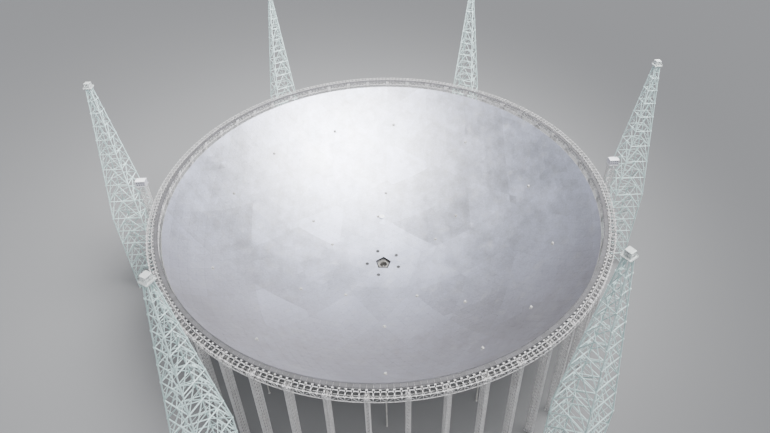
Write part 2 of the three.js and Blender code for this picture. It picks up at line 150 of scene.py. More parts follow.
class Shell:
    """A mesh in the making, in real metres: blocks of points with faces of one size each."""

    def __init__(self, seed: int = 1) -> None:
        """Starts an empty shell whose bars and plates get seeded random tones."""
        self.points: list[np.ndarray] = []
        self.faces: list[np.ndarray] = []
        self.tones: list[np.ndarray] = []
        self.charts: list[np.ndarray] = []
        self.count = 0
        self.random = np.random.default_rng(seed)

    def add(self, points: np.ndarray, faces: list[np.ndarray], tones: list[np.ndarray],
            chart: np.ndarray | None = None) -> None:
        """Adds points and the faces between them.

        Args:
            points: rows of x, y, z.
            faces: arrays of corner indices into these points, each of one face size.
            tones: for each of those arrays one number per face, from 0 to 1.
            chart: a pair of numbers per point that a finish can follow, or None for zeros.
        """
        points = points.reshape(-1, 3)
        self.points.append(points)
        self.charts.append(np.zeros((len(points), 2)) if chart is None else chart.reshape(-1, 2))
        for block, tone in zip(faces, tones):
            self.faces.append(block + self.count)
            self.tones.append(np.broadcast_to(tone, len(block)))
        self.count += len(points)

    def add_copies(self, points: np.ndarray, faces: list[np.ndarray], tones: np.ndarray,
                   chart: np.ndarray | None = None) -> None:
        """Adds many blocks of points with the same faces, each block in one tone.

        Args:
            points: an array of points per block.
            faces: arrays of corner indices into one block's points.
            tones: one number per block.
            chart: a pair of numbers per point, or None.
        """
        base = np.arange(len(points))[:, None, None] * (points[0].size // 3)
        self.add(points, [(base + block).reshape(-1, block.shape[-1]) for block in faces],
                 [np.repeat(tones, len(block)) for block in faces], chart)

    def bars(self, starts: np.ndarray, ends: np.ndarray, radius: Numbers,
             sides: int = 6, end_radius: Numbers | None = None) -> None:
        """Adds a closed prism along each line.

        Corner k of an end is the end's point plus the radius times cos(t) along the line's first
        side vector and sin(t) along its second, with t = (k + 1/2) of a turn over the sides.

        Args:
            starts: first ends of the lines, rows of x, y, z.
            ends: second ends of the lines.
            radius: distance from the line to the prism's corners, one for all or one per line.
            sides: number of sides.
            end_radius: the same at the second end, where it differs.
        """
        starts = starts.reshape(-1, 3)
        ends = ends.reshape(-1, 3)
        total = len(starts)
        first, second = across(unit(ends - starts))
        t = (np.arange(sides) + 0.5) * TURN / sides
        spoke = first[:, None] * np.cos(t)[:, None] + second[:, None] * np.sin(t)[:, None]
        near = np.broadcast_to(radius, total)[:, None, None]
        far = near if end_radius is None else np.broadcast_to(end_radius, total)[:, None, None]
        points = np.stack([starts[:, None] + near * spoke, ends[:, None] + far * spoke], axis=1)
        k = np.arange(sides)
        faces = [grid_quads(2, sides), np.stack([k[::-1], k + sides])]
        self.add_copies(points, faces, self.random.random(total))

    def crossed(self, a: np.ndarray, b: np.ndarray, level: float, cross: float, sides: int = 6) -> None:
        """Adds a level bar at each point but the first of two uprights, and a cross in each bay."""
        self.bars(a[1:], b[1:], level, sides)
        self.bars(a[:-1], b[1:], cross, sides)
        self.bars(b[:-1], a[1:], cross, sides)

    def railing(self, a: np.ndarray, b: np.ndarray, posts: int, radius: float) -> None:
        """Adds posts at even steps from a towards b, and two rails over the whole way."""
        feet = a + (b - a) * (np.arange(posts) / posts)[:, None]
        self.bars(feet, feet + UP * 1.2, radius, 4)
        for height in (0.6, 1.2):
            self.bars(a + UP * height, b + UP * height, radius, 4)

    def boxes(self, centres: np.ndarray, halves: Triple, turns: Numbers = 0.0) -> None:
        """Adds boxes: each corner is the centre plus or minus the half sizes, turned about Z.

        Args:
            centres: rows of x, y, z.
            halves: half sizes along radial, tangential and Z, one row or one per box.
            turns: azimuth of each box's first side.
        """
        centres = centres.reshape(-1, 3)
        total = len(centres)
        turns = np.broadcast_to(turns, total)[:, None]
        signs = np.array([[x, y, z] for x in (-1, 1) for y in (-1, 1) for z in (-1, 1)])
        x, y, z = np.moveaxis(signs * np.broadcast_to(halves, (total, 3))[:, None], -1, 0)
        turned = spot(x * np.cos(turns) - y * np.sin(turns), x * np.sin(turns) + y * np.cos(turns), z)
        faces = np.array([[0, 1, 3, 2], [4, 6, 7, 5], [0, 4, 5, 1], [2, 3, 7, 6], [0, 2, 6, 4], [1, 5, 7, 3]])
        self.add_copies(centres[:, None] + turned, [faces], self.random.random(total))

    def prism(self, outline: np.ndarray, ends: np.ndarray) -> None:
        """Adds an outline of (y, z) points drawn along x from one end to the other."""
        size = len(outline)
        k = np.arange(size)
        self.add(spot(ends[:, None], outline[:, 0], outline[:, 1]),
                 [grid_quads(2, size)[:, ::-1], np.stack([k[::-1], k + size])], [0.5, 0.5])

    def arc(self, profile: np.ndarray, azimuths: np.ndarray) -> None:
        """Carries a closed profile of (radius, z) points round the vertical axis.

        Point (i, k) is the k-th profile point at the i-th azimuth. A full turn closes on itself,
        and a shorter one gets the profile as a face at each end.

        Args:
            profile: points counter-clockwise with the radius to the right and z up.
            azimuths: rising angles.
        """
        whole = abs(azimuths[-1] - azimuths[0] - TURN) < 1e-6
        if whole:
            azimuths = azimuths[:-1]
        points = polar(profile[None, :, 0], azimuths[:, None], profile[None, :, 1])
        steps, size = points.shape[:2]
        faces = [grid_quads(steps, size, whole)[:, [0, 3, 2, 1]]]
        if not whole:
            ring = np.arange(size)
            faces.append(np.stack([ring, (steps - 1) * size + ring[::-1]]))
        tone = self.random.random()
        self.add(points, faces, [tone] * len(faces))

    def round_arc(self, radius: float, z: float, thickness: float, azimuths: np.ndarray,
                  sides: int = 8) -> None:
        """Carries a round profile, of the given thickness in radius, round the vertical axis."""
        t = (np.arange(sides) + 0.5) * TURN / sides
        self.arc(np.stack([radius + thickness * np.cos(t), z + thickness * np.sin(t)], axis=-1), azimuths)

    def flat_arc(self, inner: float, outer: float, low: float, high: float, azimuths: np.ndarray) -> None:
        """Carries a rectangular profile round the vertical axis."""
        self.arc(rectangle(inner, outer, low, high), azimuths)

    def lathe(self, centres: np.ndarray, profile: np.ndarray, sides: int = 16,
              axes: np.ndarray = UP, hollow: bool = False) -> None:
        """Turns a profile of (distance from the axis, height along it) points about each axis.

        Point (k, s) is the centre plus the k-th height along the axis plus the k-th distance
        times cos(t) and sin(t) along the axis's two side vectors, with t = s of a turn over sides.

        Args:
            centres: rows of x, y, z.
            profile: points counter-clockwise with the distance to the right and the height up.
            sides: steps round the axis.
            axes: unit vectors, one for all or one per centre.
            hollow: True closes the profile on itself, False caps its two ends.
        """
        centres = centres.reshape(-1, 3)
        axes = np.broadcast_to(axes, centres.shape)
        profile = np.asarray(profile)
        size = len(profile)
        first, second = across(axes)
        t = np.arange(sides) * TURN / sides
        spoke = first[:, None] * np.cos(t)[:, None] + second[:, None] * np.sin(t)[:, None]
        points = (centres[:, None, None] + profile[None, :, None, 1:2] * axes[:, None, None]
                  + profile[None, :, None, 0:1] * spoke[:, None])
        faces = [grid_quads(size, sides, hollow)]
        if not hollow:
            ring = np.arange(sides)
            faces.append(np.stack([ring[::-1], (size - 1) * sides + ring]))
        self.add_copies(points, faces, self.random.random(len(centres)))

    def piece(self, name: str, finish: "Finish", slot: Slot, nodes: tuple[str, ...] = (),
              turn: float = 0.0, offset: tuple[float, float] = (0.0, 0.0)) -> bpy.types.Object:
        """Writes the shell as one piece of the model.

        Args:
            name: the piece's name.
            finish: its material.
            slot: the record's slot that it belongs to; not used.
            nodes: CAD nodes that it stands for.
            turn: angle about Z, applied before the offset.
            offset: shift in x and y, in real metres.

        Returns:
            The new object, at the origin.
        """
        x, y, z = np.concatenate(self.points).T
        cos = math.cos(turn)
        sin = math.sin(turn)
        points = spot(x * cos - y * sin + offset[0], x * sin + y * cos + offset[1], z)
        corners = np.concatenate([block.ravel() for block in self.faces])
        sizes = np.concatenate([np.full(len(block), block.shape[1]) for block in self.faces])
        data = bpy.data.meshes.new(name)
        data.vertices.add(len(points))
        data.vertices.foreach_set("co", (points * SCALE).astype(np.float32).ravel())
        data.loops.add(len(corners))
        data.loops.foreach_set("vertex_index", corners.astype(np.int32))
        data.polygons.add(len(sizes))
        data.polygons.foreach_set("loop_start", (np.cumsum(sizes) - sizes).astype(np.int32))
        data.update(calc_edges=True)
        tones = data.attributes.new("tone", "FLOAT", "FACE")
        tones.data.foreach_set("value", np.concatenate(self.tones).astype(np.float32))
        chart = data.uv_layers.new(name="chart")
        chart.data.foreach_set("uv", np.concatenate(self.charts)[corners].astype(np.float32).ravel())
        if data.validate():
            log.warning("%s had faces that were mended", name)
        data.shade_smooth()
        data.set_sharp_from_angle(angle=SMOOTH_BELOW)
        data.materials.append(material_of(finish))
        made = bpy.data.objects.new(name, data)
        bpy.context.scene.collection.objects.link(made)
        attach(made, "root")
        if nodes:
            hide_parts(*nodes)
        log.info("%s: %d faces", name, len(sizes))
        return made


@dataclass(frozen=True)
class Pattern:
    """A shell that is written many times, each copy turned and shifted to its own place."""

    shell: Shell
    kind: str
    finish: "Finish"
    slot: Slot
    node: str = ""

    def copy(self, number: str, turn: float, offset: tuple[float, float] = (0.0, 0.0)) -> None:
        """Writes one copy, in place of the numbered CAD node where the pattern has one."""
        nodes = (f"{self.node}_{number}",) if self.node else ()
        self.shell.piece(f"{self.kind}_{number}", self.finish, self.slot, nodes, turn, offset)


# Shader nodes


class Signal:
    """An output socket with arithmetic: each operator adds one Math node."""

    def __init__(self, recipe: "Recipe", socket: bpy.types.NodeSocket) -> None:
        """Wraps a socket of a recipe's node tree."""
        self.recipe = recipe
        self.socket = socket

    def _math(self, operation: str, *values: "Signal | float") -> "Signal":
        """A Math node of one operation on the given values."""
        return self.recipe.node("ShaderNodeMath", {"operation": operation}, dict(enumerate(values)))

    def __add__(self, other: "Signal | float") -> "Signal":
        """The sum."""
        return self._math("ADD", self, other)

    __radd__ = __add__

    def __mul__(self, other: "Signal | float") -> "Signal":
        """The product."""
        return self._math("MULTIPLY", self, other)

    __rmul__ = __mul__

    def __sub__(self, other: "Signal | float") -> "Signal":
        """The difference."""
        return self._math("SUBTRACT", self, other)

    def __rsub__(self, other: float) -> "Signal":
        """The difference from a plain number."""
        return self._math("SUBTRACT", other, self)

    def __truediv__(self, other: "Signal | float") -> "Signal":
        """The quotient."""
        return self._math("DIVIDE", self, other)

    def __abs__(self) -> "Signal":
        """The size without its sign."""
        return self._math("ABSOLUTE", self)

    def fraction(self) -> "Signal":
        """What is left above the whole number."""
        return self._math("FRACT", self)

    def above(self, other: "Signal") -> "Signal":
        """The larger of the two."""
        return self._math("MAXIMUM", self, other)

    def step(self, low: float, high: float) -> "Signal":
        """A smooth rise from 0 at low to 1 at high."""
        return self.recipe.node("ShaderNodeMapRange", {"interpolation_type": "SMOOTHSTEP"},
                                {"Value": self, "From Min": low, "From Max": high})


class Recipe:
    """One material's node tree, written as expressions."""

    def __init__(self, name: str) -> None:
        """Makes the material and its shader."""
        self.material = bpy.data.materials.new(name)
        self.material.use_nodes = True
        self.tree = self.material.node_tree
        self.tree.nodes.clear()
        self.shader = self.tree.nodes.new("ShaderNodeBsdfPrincipled")
        output = self.tree.nodes.new("ShaderNodeOutputMaterial")
        self.tree.links.new(self.shader.outputs[0], output.inputs["Surface"])

    def node(self, kind: str, settings: dict, sockets: dict, output: int | str = 0) -> Signal:
        """Adds a node.

        Args:
            kind: the node's type.
            settings: its own properties, set first.
            sockets: values or signals for its inputs, by name or number.
            output: which output is handed back.

        Returns:
            The chosen output.
        """
        made = self.tree.nodes.new(kind)
        for key, value in settings.items():
            setattr(made, key, value)
        for key, value in sockets.items():
            self._feed(made.inputs[key], value)
        return Signal(self, made.outputs[output])

    def _feed(self, socket: bpy.types.NodeSocket, value: object) -> None:
        """Links a signal to a socket, or sets a plain value on it."""
        if isinstance(value, Signal):
            self.tree.links.new(value.socket, socket)
        else:
            socket.default_value = value

    def surface(self, **sockets: object) -> None:
        """Sets or links inputs of the shader; underscores stand for spaces."""
        for key, value in sockets.items():
            self._feed(self.shader.inputs[key.replace("_", " ")], value)

    def place(self, stretch: Triple = (1.0, 1.0, 1.0)) -> Signal:
        """Object coordinates, multiplied along each axis."""
        start = self.node("ShaderNodeTexCoord", {}, {}, "Object")
        return self.node("ShaderNodeVectorMath", {"operation": "MULTIPLY"}, {0: start, 1: stretch})

    def noise(self, scale: float, detail: float = 3.0, where: Signal | None = None) -> Signal:
        """Fractal noise from about 0 to 1 with the given number of cells per metre."""
        return self.node("ShaderNodeTexNoise", {},
                         {"Vector": where or self.place(), "Scale": scale, "Detail": detail,
                          "Roughness": 0.55}, "Fac")

    def tone(self) -> Signal:
        """The number that each bar, plate or panel carries."""
        return self.node("ShaderNodeAttribute", {"attribute_name": "tone"}, {}, "Fac")

    def part(self, vector: Signal, axis: str) -> Signal:
        """One coordinate of a vector."""
        return self.node("ShaderNodeSeparateXYZ", {}, {0: vector}, axis)

    def facing_up(self) -> Signal:
        """The vertical part of the surface's direction."""
        return self.part(self.node("ShaderNodeNewGeometry", {}, {}, "Normal"), "Z")

    def blend(self, factor: Signal, first: Signal | Triple, second: Signal | Triple) -> Signal:
        """A colour between two others, with the factor held from 0 to 1."""
        a, b = (c if isinstance(c, Signal) else (*c, 1.0) for c in (first, second))
        return self.node("ShaderNodeMix", {"data_type": "RGBA"}, {0: factor, 6: a, 7: b}, 2)

    def bump(self, height: Signal, strength: float, distance: float) -> Signal:
        """A surface direction tilted by the slope of a height."""
        return self.node("ShaderNodeBump", {},
                         {"Height": height, "Strength": strength, "Distance": distance})


@dataclass(frozen=True)
class Finish:
    """A surface finish; each kind writes its own nodes."""

    name: str

    def write(self, recipe: Recipe) -> None:
        """Fills in the recipe's shader."""
        raise NotImplementedError


@functools.lru_cache(maxsize=None)
def material_of(finish: Finish) -> bpy.types.Material:
    """The material of a finish, made once."""
    recipe = Recipe(finish.name)
    finish.write(recipe)
    return recipe.material


@dataclass(frozen=True)
class PanelMetal(Finish):
    """Weathered aluminium sheet: patches of panels, fine mottling and the joints of small sheets."""

    dark: Triple = (0.341, 0.341, 0.355)
    light: Triple = (0.662, 0.690, 0.819)
    dust: Triple = (0.490, 0.480, 0.441)
    # Painted shade colour for the front of the bowl.
    front_shade: Triple = (0.190, 0.168, 0.144)
    sheets: float = 10.0
    metallic: float = 1.0
    roughness: float = 0.46

    def write(self, recipe: Recipe) -> None:
        """Mixes two greys by tone and noise, lightens the middle as painted light, darkens the front as
        painted shade and rules joints along the sheets.
        """
        cloud = recipe.noise(0.45, 4.0)
        patch = recipe.noise(1.6, 3.0, recipe.place((1.0, 0.6, 1.0)))
        grain = recipe.noise(9.0, 5.0)
        tone = recipe.tone()
        around = recipe.node("ShaderNodeVectorMath", {"operation": "LENGTH"},
                             {0: recipe.place((1.0, 1.0, 0.0))}, "Value")
        # Painted light: the colour is made lighter towards the middle of the bowl.
        lit_middle = 1.0 - around.step(3.0, 8.0)
        share = tone * 0.5 + cloud * 0.4 + patch * 0.6 + lit_middle * 0.2 + (grain - 0.5) * 0.5 - 0.185
        clean = recipe.blend(share.step(0.1, 1.1), self.dark, self.light)
        # Painted shade: towards the front of the bowl the colour is mixed with a darker, warmer colour, more
        # where the patch noise is high.
        behind = recipe.part(recipe.place(), "Y").step(-9.0, 2.0)
        metal = recipe.blend((1.0 - behind) * (0.5 + patch * 0.5), clean, self.front_shade)
        dusty = recipe.noise(1.7, 6.0).step(0.5, 0.85) * 0.35
        chart = recipe.node("ShaderNodeUVMap", {"uv_map": "chart"}, {})
        b = recipe.part(chart, "X")
        c = recipe.part(chart, "Y")
        joint = None
        for share_of_side in (b, c, 1.0 - b - c):
            line = abs((share_of_side * self.sheets).fraction() - 0.5).step(0.455, 0.5)
            joint = line if joint is None else joint.above(line)
        colour = recipe.blend(dusty, metal, self.dust)
        recipe.surface(Base_Color=recipe.blend(joint * 0.35, colour, self.dark),
                       Metallic=self.metallic,
                       Roughness=self.roughness + (cloud - 0.5) * 0.22 + (tone - 0.5) * 0.10 + dusty * 0.3,
                       Normal=recipe.bump(grain * 0.4 - joint, 0.25, 0.004))


@dataclass(frozen=True)
class Paint(Finish):
    """Weathered paint on steel bars, with dust on upper sides and streaks down the uprights."""

    colour: Triple
    shade: Triple
    dust: Triple = (0.50, 0.46, 0.39)
    roughness: float = 0.5
    dusting: float = 0.45
    metallic: float = 0.1
    gloss: float = 0.5

    def write(self, recipe: Recipe) -> None:
        """Mixes paint and shade by the bar's tone and noise, then dust where the surface faces up."""
        wide = recipe.noise(2.5, 4.0)
        fine = recipe.noise(42.0, 4.0)
        streak = recipe.noise(1.0, 5.0, recipe.place((26.0, 26.0, 1.6)))
        share = (recipe.tone() - 0.5) * 0.6 + wide * 0.9 + (streak - 0.5) * 0.9
        paint = recipe.blend(share.step(0.05, 0.9), self.colour, self.shade)
        dusty = recipe.facing_up().step(0.2, 0.95) * fine.step(0.3, 0.75) * self.dusting
        recipe.surface(Base_Color=recipe.blend(dusty, paint, self.dust), Metallic=self.metallic,
                       Specular_IOR_Level=self.gloss,
                       Roughness=self.roughness + (fine - 0.5) * 0.25 + dusty * 0.3,
                       Normal=recipe.bump(fine, 0.2, 0.002))


@dataclass(frozen=True)
class Sheeting(Finish):
    """Ribbed and painted wall sheets with rain streaks."""

    colour: Triple
    shade: Triple
    rib: float = 0.045

    def write(self, recipe: Recipe) -> None:
        """Adds ribs by the fraction of the place over the rib's width, darkened a little as painted shade,
        and streaks of grey.
        """
        place = recipe.place()
        along = recipe.part(place, "X") + recipe.part(place, "Y")
        rib = abs((along / self.rib).fraction() - 0.5).step(0.3, 0.42)
        streak = recipe.noise(1.0, 6.0, recipe.place((22.0, 22.0, 2.4)))
        # Painted shade along the rib lines, with grey streaks of dirt.
        streaks_and_rib_shade = streak.step(0.45, 0.8) * 0.5 + rib * 0.12
        recipe.surface(Base_Color=recipe.blend(streaks_and_rib_shade, self.colour, self.shade),
                       Roughness=0.42 + streak * 0.25, Normal=recipe.bump(rib, 0.6, 0.004))


@dataclass(frozen=True)
class Concrete(Finish):
    """Cast concrete with stains and fine pores."""

    colour: Triple = (0.52, 0.51, 0.48)
    stain: Triple = (0.30, 0.29, 0.26)

    def write(self, recipe: Recipe) -> None:
        """Mixes two greys by coarse noise and roughens the surface by fine noise."""
        wide = recipe.noise(3.0, 6.0)
        pores = recipe.noise(60.0, 4.0)
        share = (wide + (pores - 0.5) * 0.4).step(0.35, 0.8)
        recipe.surface(Base_Color=recipe.blend(share, self.colour, self.stain),
                       Roughness=0.82 + (pores - 0.5) * 0.2, Normal=recipe.bump(pores, 0.5, 0.004))


@dataclass(frozen=True)
class Glass(Finish):
    """Dark window panes."""

    colour: Triple = (0.05, 0.065, 0.075)

    def write(self, recipe: Recipe) -> None:
        """Dark and smooth, with a little dust."""
        dust = recipe.noise(30.0, 3.0)
        recipe.surface(Base_Color=recipe.blend(dust.step(0.5, 0.9) * 0.3, self.colour, (0.3, 0.3, 0.29)),
                       Roughness=0.12 + dust * 0.15)


PANELS = PanelMetal("panel_metal")
GIRDER_PAINT = Paint("girder_paint", (0.56, 0.553, 0.56), (0.38, 0.372, 0.36), (0.46, 0.44, 0.40))
# Painted shade: dark paint for the bars inside and under the girder.
GIRDER_PAINTED_SHADE = Paint("girder_painted_shade", (0.10, 0.098, 0.096), (0.06, 0.058, 0.056), (0.12, 0.113, 0.102))
# Partly the walkway's own grating, partly painted shade: nearly black, for the dark inside of the girder seen
# through the grating.
DECKING = Paint("walkway_decking", (0.097, 0.095, 0.102), (0.068, 0.067, 0.069), (0.11, 0.106, 0.102), 0.65)
COLUMN_PAINT = Paint("column_paint", (0.62, 0.61, 0.61), (0.44, 0.43, 0.42), dusting=0.3)
TOWER_PAINT = Paint("tower_paint", (0.60, 0.75, 0.73), (0.41, 0.53, 0.515), dusting=0.1)
HEAD_PAINT = Paint("head_paint", (0.72, 0.76, 0.745), (0.52, 0.56, 0.545), dusting=0.4)
FRAME_ALLOY = Paint("frame_alloy", (0.56, 0.57, 0.58), (0.40, 0.41, 0.42), roughness=0.4, metallic=0.6)
NET_STEEL = Paint("net_steel", (0.34, 0.35, 0.355), (0.22, 0.225, 0.23), roughness=0.45, metallic=0.6)
HOUSE_SHEETS = Sheeting("house_sheets", (0.40, 0.39, 0.43), (0.27, 0.265, 0.28))
ROOF_SHEETS = Sheeting("roof_sheets", (0.84, 0.85, 0.86), (0.62, 0.63, 0.63), 0.03)
HOUSE_TRIM = Paint("house_trim", (0.54, 0.55, 0.57), (0.38, 0.39, 0.41))
PIER_CONCRETE = Concrete("pier_concrete")
PIER_WHITE = Paint("pier_white", (0.46, 0.46, 0.455), (0.34, 0.34, 0.33), dusting=0.3)
COVER_WHITE = Paint("cover_white", (0.86, 0.87, 0.88), (0.70, 0.71, 0.72), dusting=0.1)
DOCK_PAINT = Paint("dock_paint", (0.19, 0.184, 0.17), (0.13, 0.124, 0.113), (0.20, 0.188, 0.166), dusting=0.3)
# Painted shade: near-black, for the hub frame, the dock's lining and the rings round the piers, where holes
# in the bowl show shade.
HUB_PAINTED_SHADE = Paint("hub_painted_shade", (0.022, 0.021, 0.02), (0.014, 0.0135, 0.013), (0.03, 0.028, 0.025), 0.7,
                  metallic=0.0, gloss=0.08)
# Painted shade: a dark grey for the wells, where the holes show shade.
WELL_PAINTED_SHADE = Paint("well_painted_shade", (0.045, 0.045, 0.048), (0.033, 0.033, 0.035), (0.06, 0.058, 0.055), 0.7,
                   metallic=0.0, gloss=0.1)
WINDOWS = Glass("window_glass")


@dataclass(frozen=True)
class Site:
    """Driving dimensions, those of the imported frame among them."""

    ring_top: float
    tower_top: float
    head_top: float
    sphere: float = 300.0
    clearance: float = 6.0
    rim: float = 248.4
    ring_inner: float = 250.7
    ring_outer: float = 261.1
    ring_height: float = 6.4
    sections: int = 10
    cells: int = 30
    columns: int = 5
    hub_turn: float = TURN / 25
    towers: int = 6
    tower_circle: float = 300.0
    tower_turn: float = math.radians(1.1)

    @classmethod
    def from_frame(cls) -> "Site":
        """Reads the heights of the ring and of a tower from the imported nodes."""
        return cls(ring_top=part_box("girder_section_01")[1].z / SCALE,
                   tower_top=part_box("tower_1")[1].z / SCALE,
                   head_top=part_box("tower_head_1")[1].z / SCALE)

    @property
    def section_angle(self) -> float:
        """Angle of one girder section."""
        return TURN / self.sections

    @property
    def ring_low(self) -> float:
        """Height of the girder's underside."""
        return self.ring_top - self.ring_height

    @property
    def centre_z(self) -> float:
        """Height of the sphere's centre."""
        return self.sphere + self.clearance

    def depth_at(self, radius: float) -> float:
        """Height of the bowl's surface at a distance from the axis."""
        return self.centre_z - math.sqrt(self.sphere**2 - radius**2)

    def tower_place(self, number: int) -> tuple[float, tuple[float, float]]:
        """The turn about Z and the shift in x and y that bring a shell to a tower."""
        turn = self.tower_turn + number * TURN / self.towers
        return turn, (self.tower_circle * math.cos(turn), self.tower_circle * math.sin(turn))


@dataclass
class PanelGrid:
    """The geodesic grid of panel corners: five spherical triangles round the bowl's lowest point."""

    site: Site
    rows: int = 31
    snap: float = 0.35

    def __post_init__(self) -> None:
        """Works out the corners of all five sectors and finds those that lie inside the rim.

        The triangles' corners are at an angle whose tangent is 2 from the lowest point, as in an
        icosahedron. Row i divides two of their sides at i of the rows, and its corner j divides
        the great circle between those two points at j of i. Corners past the rim, or less than a
        share of a step inside it, are drawn along their meridian onto the rim.
        """
        spread = math.atan(2)
        left_azimuth = self.site.hub_turn + TURN / 5 * np.arange(5)
        ends = [polar(math.sin(spread), left_azimuth + shift, -math.cos(spread)) for shift in (0, TURN / 5)]
        share = (np.arange(self.rows + 1) / self.rows)[None, :, None]
        left, right = (self.between(-UP, end[:, None], share) for end in ends)
        column = np.arange(self.rows + 1)
        along = np.minimum(column[None, :] / np.maximum(column[:, None], 1), 1.0)
        points = self.between(left[:, :, None], right[:, :, None], along[None, :, :, None])
        angle = np.arccos(np.clip(-points[..., 2], -1, 1))
        rim = math.asin(self.site.rim / self.site.sphere)
        self.inside = angle < rim - self.snap * spread / self.rows
        held = np.where(self.inside, angle, rim)
        azimuth = np.arctan2(points[..., 1], points[..., 0])
        self.points = polar(np.sin(held), azimuth, -np.cos(held))

    @staticmethod
    def between(a: np.ndarray, b: np.ndarray, share: np.ndarray) -> np.ndarray:
        """Points on the great circle from a to b: sin((1-s)w) a + sin(s w) b, over sin(w)."""
        angle = np.maximum(np.arccos(np.clip((a * b).sum(-1, keepdims=True), -1, 1)), 1e-9)
        return (np.sin((1 - share) * angle) * a + np.sin(share * angle) * b) / np.sin(angle)

    def place(self, directions: np.ndarray, below: float = 0.0) -> np.ndarray:
        """Points a distance below the bowl's surface in the given directions from the centre."""
        return UP * self.site.centre_z + unit(directions) * (self.site.sphere + below)

    def panels(self) -> tuple[np.ndarray, np.ndarray]:
        """Row and column of the three corners of every panel of one sector.

        In each row of panels come first those that point to the middle, then those between them.
        """
        rows = []
        columns = []
        for i in range(1, self.rows):
            for count, row, column in ((i + 1, (0, 1, 1), (0, 0, 1)), (i, (0, 1, 0), (0, 1, 1))):
                rows.append(np.broadcast_to(i + np.array(row), (count, 3)))
                columns.append(np.arange(count)[:, None] + np.array(column))
        return np.concatenate(rows), np.concatenate(columns)

    def nearest(self, radius: float, azimuth: float) -> np.ndarray:
        """Direction of the grid's corner nearest to a place in the bowl."""
        angle = math.asin(radius / self.site.sphere)
        corners = self.points[self.inside]
        return corners[np.argmax(corners @ polar(math.sin(angle), azimuth, -math.cos(angle)))]


@dataclass(frozen=True)
class PierRing:
    """Like piers, wells or covers in the bowl at about one distance from the axis."""

    radius: float
    azimuths: tuple[float, ...]
    height: float

    def directions(self, sphere: float) -> np.ndarray:
        """Unit directions from the sphere's centre to each place, found from its distance and azimuth."""
        return unit(polar(self.radius, np.radians(self.azimuths), -math.sqrt(sphere**2 - self.radius**2)))


PIER_RINGS = (
    PierRing(radius=79.0, azimuths=(22, 91, 161, -127, -55), height=1.2),
    PierRing(radius=117.0, azimuths=(28, 84, 146, -152, -92), height=1.6),
    PierRing(radius=133.0, azimuths=(-45,), height=1.6),
    PierRing(radius=205.0, azimuths=(-127, -91, -64, -43, -15, 15, 52, 84, 109, 138, 165, -158), height=1.8),
)
WELLS = PierRing(radius=21.4, azimuths=(-177, -108.5, -23, 33.5, 109), height=0.08)
COVER = PierRing(radius=77.0, azimuths=(90,), height=1.3)


